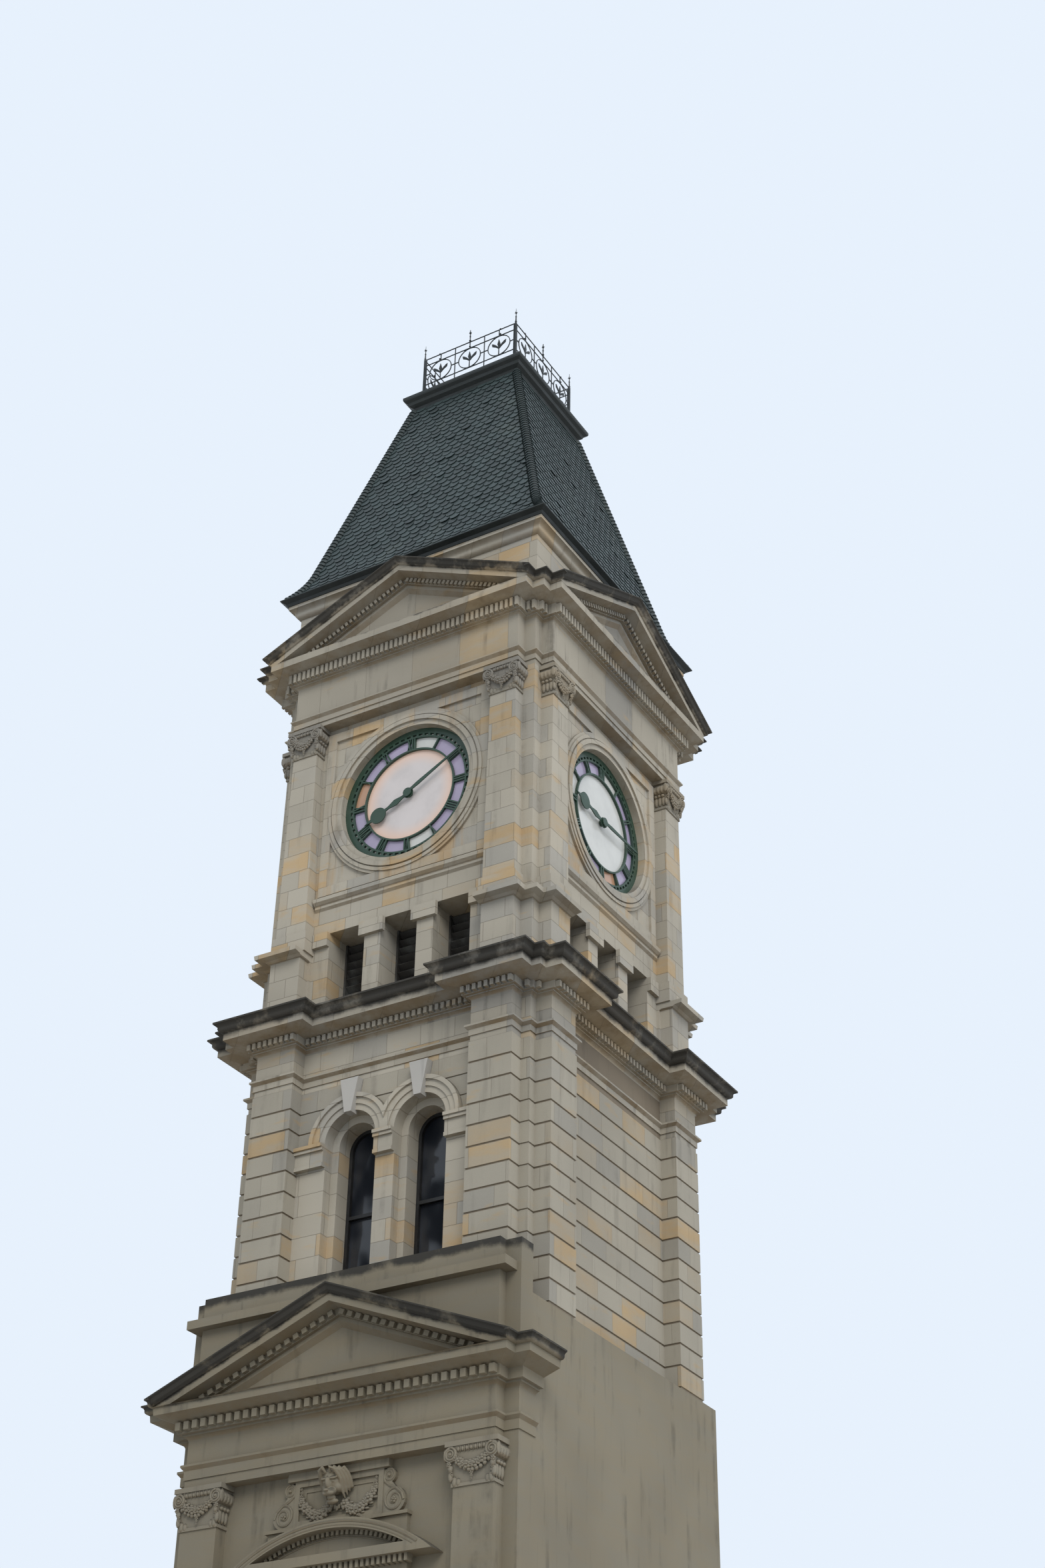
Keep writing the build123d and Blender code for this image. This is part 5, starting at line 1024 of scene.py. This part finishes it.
class TOWER_OT_capitals(bpy.types.Operator):
    """Carves the capitals: volutes, egg band, leaves and a garland of roses."""
    bl_idname = "tower.capitals"
    bl_label = "Capitals"

    def corner(self, source, middle, hand, width, face, bottom, soffit):
        """Volute, acanthus leaves and a string of flowers at one corner."""
        edge = middle + hand * width / 2
        rim = edge + hand * 0.005
        eye = Vector((rim, -face - 0.082, soffit - 0.175))
        volute = spiral(eye, 0.092, 0.026, hand * 1.7, 30)
        add_tube(source, volute, [0.019 - 0.007 * i / 30 for i in range(31)])
        add_ball(source, eye, 0.026)
        add_ball(source, (rim + hand * 0.09, -face - 0.05, soffit - 0.175), (0.018, 0.045, 0.095))
        for inset, lift, out, height in ((0.03, 0.07, 0.012, 0.075), (-0.02, 0.14, 0.03, 0.080),
                                         (-0.01, 0.235, 0.055, 0.05), (0.09, 0.06, 0.006, 0.06)):
            add_ball(source, (edge - hand * inset, -face - out, bottom + lift), (0.036, 0.028, height))
        for depth in (0.03, 0.10, 0.17):
            add_ball(source, (rim + hand * 0.06, -face + depth, soffit - 0.185), (0.052, 0.040, 0.085))
            add_ball(source, (edge + hand * 0.012, -face + depth, bottom + 0.16), (0.034, 0.036, 0.105))
            add_ball(source, (edge + hand * 0.040, -face + depth, bottom + 0.26), (0.030, 0.034, 0.034))
        for drop in range(5):
            add_rose(source, (rim + hand * (0.02 - 0.01 * drop), -face - 0.075 + 0.01 * drop,
                              soffit - 0.305 - 0.045 * drop), 0.036 - 0.004 * drop, spin=drop)

    def capital(self, source, middle, width, face, bottom, soffit):
        """Carving on the front of one capital of a pilaster on the -Y side."""
        for hand in (-1, 1):
            self.corner(source, middle, hand, width, face, bottom, soffit)
        egg_pitch = 0.066
        eggs = round((width - 0.16) / egg_pitch)
        for index in range(eggs):
            x = middle + (index - (eggs - 1) / 2) * egg_pitch
            add_ball(source, (x, -face - 0.070, soffit - 0.115), (0.022, 0.022, 0.036))
            add_box(source, (x + 0.029, -face - 0.088, soffit - 0.155),
                    (x + 0.037, -face - 0.05, soffit - 0.075))
        for index in range(9):
            share = index / 4 - 1
            place = Vector((middle + share * (width / 2 - 0.07), -face - 0.075,
                            soffit - 0.235 - 0.105 * (1 - share ** 2)))
            add_rose(source, place, 0.060 if index % 2 else 0.046, spin=index)
            add_ball(source, place + Vector((0.02, 0.02, -0.062)), (0.030, 0.026, 0.034))
            add_ball(source, place + Vector((-0.02, 0.02, 0.052)), (0.028, 0.024, 0.028))
        for index in range(4):
            add_rose(source, (middle, -face - 0.055, soffit - 0.40 - 0.040 * index), 0.034 - 0.006 * index,
                     spin=index)

    def execute(self, context):
        for stage, middle, width, face, turns, finish, slot in (
                ("clock", 1.976, 0.485, STAGE_HALF, quarter_turns(), "carved stone", "stone"),
                ("pavilion", 2.2345, 0.625, BASE_FRONT, [Matrix()], "carved stucco", "stucco")):
            node = f"{stage}_capitals"
            part = bmesh.new()
            self.capital(part, middle, width, face + PILASTER_STAND, lowest(node).z, highest(node).z)
            add_piece(f"{stage}_capital_carving", repeat(part, both_hands(turns)), finish, smooth=True)
        return {"FINISHED"}


class TOWER_OT_cartouche(bpy.types.Operator):
    """Carves the lion mask, its fruit, the two swags and the scrolls of the tablet over the window."""
    bl_idname = "tower.cartouche"
    bl_label = "Cartouche"

    voxel: length_setting("Grain", "Size of the mask's finest detail", 0.007, 0.001)

    def mask(self, source, place):
        """A lion's head that looks out along -Y: skull, bridge, muzzle, nose and chin, then both halves."""
        for centre, size in (((0, -0.055, 0.01), (0.128, 0.150, 0.165)),
                             ((0, -0.185, 0.005), (0.034, 0.060, 0.085)),
                             ((0, -0.190, -0.085), (0.074, 0.082, 0.052)),
                             ((0, -0.268, -0.052), (0.034, 0.022, 0.020)),
                             ((0, -0.185, -0.150), (0.050, 0.050, 0.030))):
            add_ball(source, centre, size, place, 3)
        for hand in (-1, 1):
            for x, y, z, size in ((0.055, -0.168, 0.062, (0.050, 0.045, 0.020)),
                                  (0.053, -0.180, 0.024, (0.020, 0.018, 0.015)),
                                  (0.034, -0.228, -0.092, (0.042, 0.046, 0.034)),
                                  (0.078, -0.110, -0.055, (0.052, 0.070, 0.062))):
                add_ball(source, (hand * x, y, z), size, place, 3)
            for lock in range(4):
                path = [(hand * (0.030 + 0.030 * lock), -0.165 + 0.012 * lock, 0.120 - 0.006 * lock),
                        (hand * (0.052 + 0.042 * lock), -0.192 + 0.034 * lock, 0.192 - 0.012 * lock),
                        (hand * (0.098 + 0.030 * lock), -0.165 + 0.036 * lock, 0.150 - 0.020 * lock),
                        (hand * (0.124 + 0.025 * lock), -0.125 + 0.030 * lock, 0.030 - 0.010 * lock),
                        (hand * (0.112 + 0.028 * lock), -0.115 + 0.030 * lock, -0.085),
                        (hand * (0.125 + 0.022 * lock), -0.095 + 0.026 * lock, -0.195 + 0.030 * lock)]
                add_tube(source, path, [0.014, 0.024, 0.027, 0.025, 0.023, 0.007], 10, place)

    def swag(self, source, hand):
        """Roses, buds and leaves from the fruit under the jaw up to the panel's corner."""
        count = 8
        for index in range(count):
            share = index / (count - 1)
            sag = 0.10 * share ** 2 - 0.115 * math.sin(math.pi * share ** 0.9)
            place = Vector((hand * (0.13 + 0.45 * share), -PANEL_FACE - 0.02, PANEL_FOOT + 0.075 + sag))
            add_rose(source, place, (0.070, 0.056)[index % 2], spin=index * 0.9, petals=6)
            for lean in (-1, 1):
                leaf = place + Vector((hand * 0.03, 0.018, lean * 0.068))
                add_ball(source, leaf, (0.036, 0.018, 0.020))
                add_ball(source, leaf + Vector((-hand * 0.05, -0.012, -lean * 0.010)), 0.024)
        for rise in range(4):
            add_rose(source, (hand * (0.605 + 0.008 * (rise % 2)), -PANEL_FACE - 0.005,
                              PANEL_FOOT + 0.22 + 0.05 * rise), 0.034 - 0.005 * rise)
        for drop in range(3):
            add_ball(source, (hand * (0.34 + 0.03 * drop), -PANEL_FACE, PANEL_FOOT - 0.10 - 0.010 * drop),
                     (0.030, 0.02, 0.018))

    def scroll(self, source, hand):
        """Two volutes joined by a curved band, beside the tablet."""
        plane = -PANEL_FACE + 0.013
        for x, rise, radius, turns, thick in ((0.809, 0.375, 0.088, -1.6, 0.013),
                                              (0.899, 0.035, 0.160, 1.7, 0.018)):
            path = spiral((hand * x, plane, PANEL_FOOT + rise), radius, 0.03, hand * turns, 40)
            add_tube(source, path, [thick * (1 - 0.5 * i / 40) for i in range(41)])
        add_rose(source, (hand * 0.899, -PANEL_FACE + 0.005, PANEL_FOOT + 0.035), 0.045)
        add_ball(source, (hand * 0.809, -PANEL_FACE + 0.01, PANEL_FOOT + 0.375), 0.026)
        band = ((0.742, 0.43, 0.012), (0.728, 0.36, 0.015), (0.745, 0.29, 0.017), (0.815, 0.235, 0.019),
                (0.93, 0.185, 0.021), (1.02, 0.11, 0.021), (1.052, 0.02, 0.018))
        path = [(hand * x, -PANEL_FACE + 0.015, PANEL_FOOT + rise) for x, rise, thick in band]
        add_tube(source, path, [thick for x, rise, thick in band])

    def frame_strips(self, source):
        """The raised border of the tablet."""
        half, foot, head, strip = 0.565, PANEL_FOOT, PANEL_FOOT + 0.34, 0.022
        for left, low, right, high in ((-half, foot, half, foot + strip), (-half, head - strip, half, head),
                                       (-half, foot + strip, -half + strip, head - strip),
                                       (half - strip, foot + strip, half, head - strip)):
            add_box(source, (left, -PANEL_FACE + 0.022, low), (right, -PANEL_FACE + 0.05, high))

    def execute(self, context):
        source = bmesh.new()
        place = Matrix.Translation((0, -PANEL_FACE - 0.03, PANEL_FOOT + 0.39))
        place = place @ Matrix.Rotation(math.radians(24), 4, "X") @ Matrix.Scale(1.18, 4)
        self.mask(source, place)
        add_ball(source, (0, -PANEL_FACE - 0.125, PANEL_FOOT + 0.095), (0.092, 0.052, 0.046), detail=3)
        for spoke, drop in ((-1, 0.0), (0, 0.02), (1, 0.0)):
            add_ball(source, (0.035 * spoke, -PANEL_FACE - 0.012, PANEL_FOOT + 0.055 - drop),
                     (0.020, 0.016, 0.040))
        carving = add_piece("lion_mask", source, "stucco", smooth=True)
        fuse = carving.modifiers.new("fuse", "REMESH")
        fuse.mode = "VOXEL"
        fuse.voxel_size = self.voxel
        fuse.use_smooth_shade = True
        soften = carving.modifiers.new("soften", "SMOOTH")
        soften.factor = 0.5
        soften.iterations = 3
        swags, scrolls = bmesh.new(), bmesh.new()
        for hand in (-1, 1):
            self.swag(swags, hand)
            self.scroll(scrolls, hand)
        self.frame_strips(scrolls)
        add_piece("flower_swags", swags, "carved stucco", smooth=True)
        add_piece("cartouche_scrolls", scrolls, "stucco")
        return {"FINISHED"}


class TOWER_OT_slates(bpy.types.Operator):
    """Lays the fish-scale slates and the ribbed hips."""
    bl_idname = "tower.slates"
    bl_label = "Slates"

    bend_rise: length_setting("Bend", "Height of the bend over the eaves", 0.735)
    half_bend: length_setting("Bend half-width", "Half-width of the roof at its bend", 2.325)
    half_head: length_setting("Head half-width", "Half-width of the roof under its cap", 1.157)

    def half_width(self, height):
        """Half-width of the roof at a height, straight above and swept out at the eaves."""
        bend = ROOF_FOOT + self.bend_rise
        slope = (self.half_bend - self.half_head) / (ROOF_HEAD - bend)
        straight = self.half_bend - slope * (height - bend)
        if height >= bend:
            return straight
        sweep = highest("mansard_roof").x - self.half_bend - slope * self.bend_rise
        return straight + sweep * ((bend - height) / self.bend_rise) ** 2.3

    def slate(self, source, tone, x, width, low, high, half_low, half_high, chance):
        """A slate with a round tail, lifted a little at the tail and clipped at the hips."""
        value = chance.random()
        lift = 0.024 + (0.016 if chance.random() < 0.06 else 0.004) * chance.random()
        slip = 0.006 * (chance.random() - 0.5)
        outline = [(-0.5, 1.0), (-0.5, 0.42), (-0.42, 0.2), (-0.25, 0.05), (0, 0.0), (0.25, 0.05),
                   (0.42, 0.2), (0.5, 0.42), (0.5, 1.0)]
        places = []
        for across, rise in outline:
            half = half_low + (half_high - half_low) * rise
            shown = min(max(x + across * width * 0.965, -half), half)
            level = low + rise * (high - low) + (slip if rise < 1 else 0)
            places.append(Vector((shown, -half - lift * (1 - rise) - 0.004, level)))
        if (places[0] - places[-1]).length < 0.02:
            return
        verts = [source.verts.new(place) for place in places]
        front = source.faces.new(verts)
        grown = bmesh.ops.extrude_face_region(source, geom=[front])["geom"]
        back = [item for item in grown if isinstance(item, bmesh.types.BMVert)]
        bmesh.ops.translate(source, verts=back, vec=(0, 0.009, 0))
        for face in {face for vert in verts + back for face in vert.link_faces}:
            face[tone] = value

    def execute(self, context):
        roof = context.scene.tower_roof
        source = bmesh.new()
        source.faces.layers.float.new("tone")
        chance = random.Random(7)
        height = ROOF_FOOT + 0.02
        row = 0
        while height < ROOF_HEAD - 0.02:
            half = self.half_width(height)
            lean = math.atan2(half - self.half_width(height + 0.05), 0.05)
            up = roof.slate_gauge * math.cos(lean)
            top = min(height + 1.6 * up, ROOF_HEAD)
            upper = self.half_width(top)
            count = max(4, round(2 * half / roof.slate_width))
            width = 2 * half / count
            staggered = row % 2
            for turn in quarter_turns():
                part = bmesh.new()
                tone = part.faces.layers.float.new("tone")
                for place in range(count + staggered):
                    x = -half + width * (place + (0 if staggered else 0.5))
                    self.slate(part, tone, x, width, height, top, half, upper, chance)
                repeat(part, [turn], source)
            height += up
            row += 1
        add_piece("fish_scale_slates", source, "slate")
        self.hips()
        return {"FINISHED"}

    def hips(self):
        """A roll of short ribs down each hip."""
        source = bmesh.new()
        pitch = 0.085
        height = ROOF_FOOT + 0.03
        while height < ROOF_HEAD - 0.03:
            half = self.half_width(height)
            drift = self.half_width(height + 0.03) - half
            along = Vector((drift, -drift, 0.03)).normalized()
            place = Matrix.Translation((half - 0.012, -(half - 0.012), height))
            place = place @ along.to_track_quat("Z", "Y").to_matrix().to_4x4()
            for quarter in quarter_turns():
                bmesh.ops.create_cone(source, segments=10, cap_ends=True, radius1=0.094, radius2=0.074,
                                      depth=pitch * 0.98, matrix=quarter @ place)
            height += pitch * along.z
        add_piece("hip_ribs", source, "slate")


class TOWER_OT_cresting(bpy.types.Operator):
    """Adds collars, barbed heads and rivets to the iron cresting."""
    bl_idname = "tower.cresting"
    bl_label = "Cresting"

    def spike(self, part, x, y, rail, tip):
        """Collar over the rail, a bead above it and barbs under the tip."""
        length = tip - rail
        add_ball(part, (x, y, rail + 0.03), (0.024, 0.024, 0.014))
        add_ball(part, (x, y, rail + 0.45 * length), (0.017, 0.017, 0.022))
        head = Matrix.Translation((x, y, rail + 0.70 * length))
        for turn in quarter_turns():
            barb = head @ turn @ Matrix.Rotation(math.radians(-38), 4, "Y")
            add_box(part, (0.004, -0.005, -0.006), (0.036, 0.005, 0.006), barb)

    def execute(self, context):
        top = highest("cresting_posts")
        tip, rail = top.z, top.z - 0.38
        middle = top.x - 0.017
        part = bmesh.new()
        self.spike(part, middle, -middle, rail, tip - 0.02)
        self.spike(part, 0.0, -middle, rail, tip - 0.07)
        for place in (-0.70, 0.0, 0.70):
            for height in (rail, rail - 0.13):
                add_ball(part, (place, -middle, height), 0.020)
        source = repeat(part, quarter_turns())
        add_piece("cresting_collars", source, "cresting iron", smooth=True)
        return {"FINISHED"}


class TOWER_OT_doors(bpy.types.Operator):
    """Adds panels, a meeting stile and fanlight bars to the entrance doors."""
    bl_idname = "tower.doors"
    bl_label = "Doors"

    def execute(self, context):
        high = highest("entrance_doors")
        face = lowest("entrance_doors").y
        spring = high.z - high.x
        source = bmesh.new()
        add_box(source, (-high.x, face - 0.05, spring - 0.06), (high.x, face + 0.02, spring + 0.06))
        for hand in (-1, 1):
            for bottom, top in ((0.25, 1.05), (1.2, spring - 0.2)):
                for inset, stand in ((0.0, 0.030), (0.05, 0.012)):
                    add_box(source, (hand * (0.08 + inset), face - stand, bottom + inset),
                            (hand * (high.x - 0.12 - inset), face + 0.01, top - inset))
        add_box(source, (-0.02, face - 0.045, 0.16), (0.02, face + 0.01, spring))
        for spoke in range(1, 6):
            turn = Matrix.Translation((0, face, spring)) @ Matrix.Rotation(math.radians(-30 * spoke), 4, "Y")
            add_box(source, (0.15, -0.03, -0.018), (high.x - 0.02, 0.01, 0.018), turn)
        chamfer(source, source.edges[:], 0.006)
        add_piece("door_panels", source, "door paint")
        return {"FINISHED"}


class TOWER_PT_panel(bpy.types.Panel):
    """Lists the steps that dress the tower."""
    bl_idname = "TOWER_PT_panel"
    bl_label = "Clock Tower"
    bl_space_type = "VIEW_3D"
    bl_region_type = "UI"
    bl_category = "Tower"

    def draw(self, context):
        for step in STEPS:
            self.layout.operator(step.bl_idname)
        for settings in (context.scene.tower_stone, context.scene.tower_dial, context.scene.tower_roof):
            for key in settings.__annotations__:
                self.layout.prop(settings, key)


SETTINGS = {"tower_stone": TowerStoneSettings, "tower_dial": TowerDialSettings,
            "tower_roof": TowerRoofSettings}
STEPS = (TOWER_OT_stage, TOWER_OT_finishes, TOWER_OT_rustication, TOWER_OT_spandrels, TOWER_OT_arches,
         TOWER_OT_dentils, TOWER_OT_dials, TOWER_OT_capitals, TOWER_OT_cartouche, TOWER_OT_slates,
         TOWER_OT_cresting, TOWER_OT_doors)
CLASSES = (*SETTINGS.values(), *STEPS, TOWER_PT_panel)


def register():
    for cls in CLASSES:
        bpy.utils.register_class(cls)
    for name, settings in SETTINGS.items():
        setattr(bpy.types.Scene, name, PointerProperty(type=settings))


def unregister():
    for name in SETTINGS:
        delattr(bpy.types.Scene, name)
    for cls in reversed(CLASSES):
        bpy.utils.unregister_class(cls)


def main():
    register()
    bpy.ops.tower.stage()
    bpy.ops.tower.finishes()
    bpy.ops.tower.rustication()
    bpy.ops.tower.spandrels()
    bpy.ops.tower.arches()
    bpy.ops.tower.dentils()
    bpy.ops.tower.dials()
    bpy.ops.tower.capitals()
    bpy.ops.tower.cartouche()
    bpy.ops.tower.slates()
    bpy.ops.tower.cresting()
    bpy.ops.tower.doors()
    bpy.context.view_layer.update()


if __name__ == "__main__":
    main()
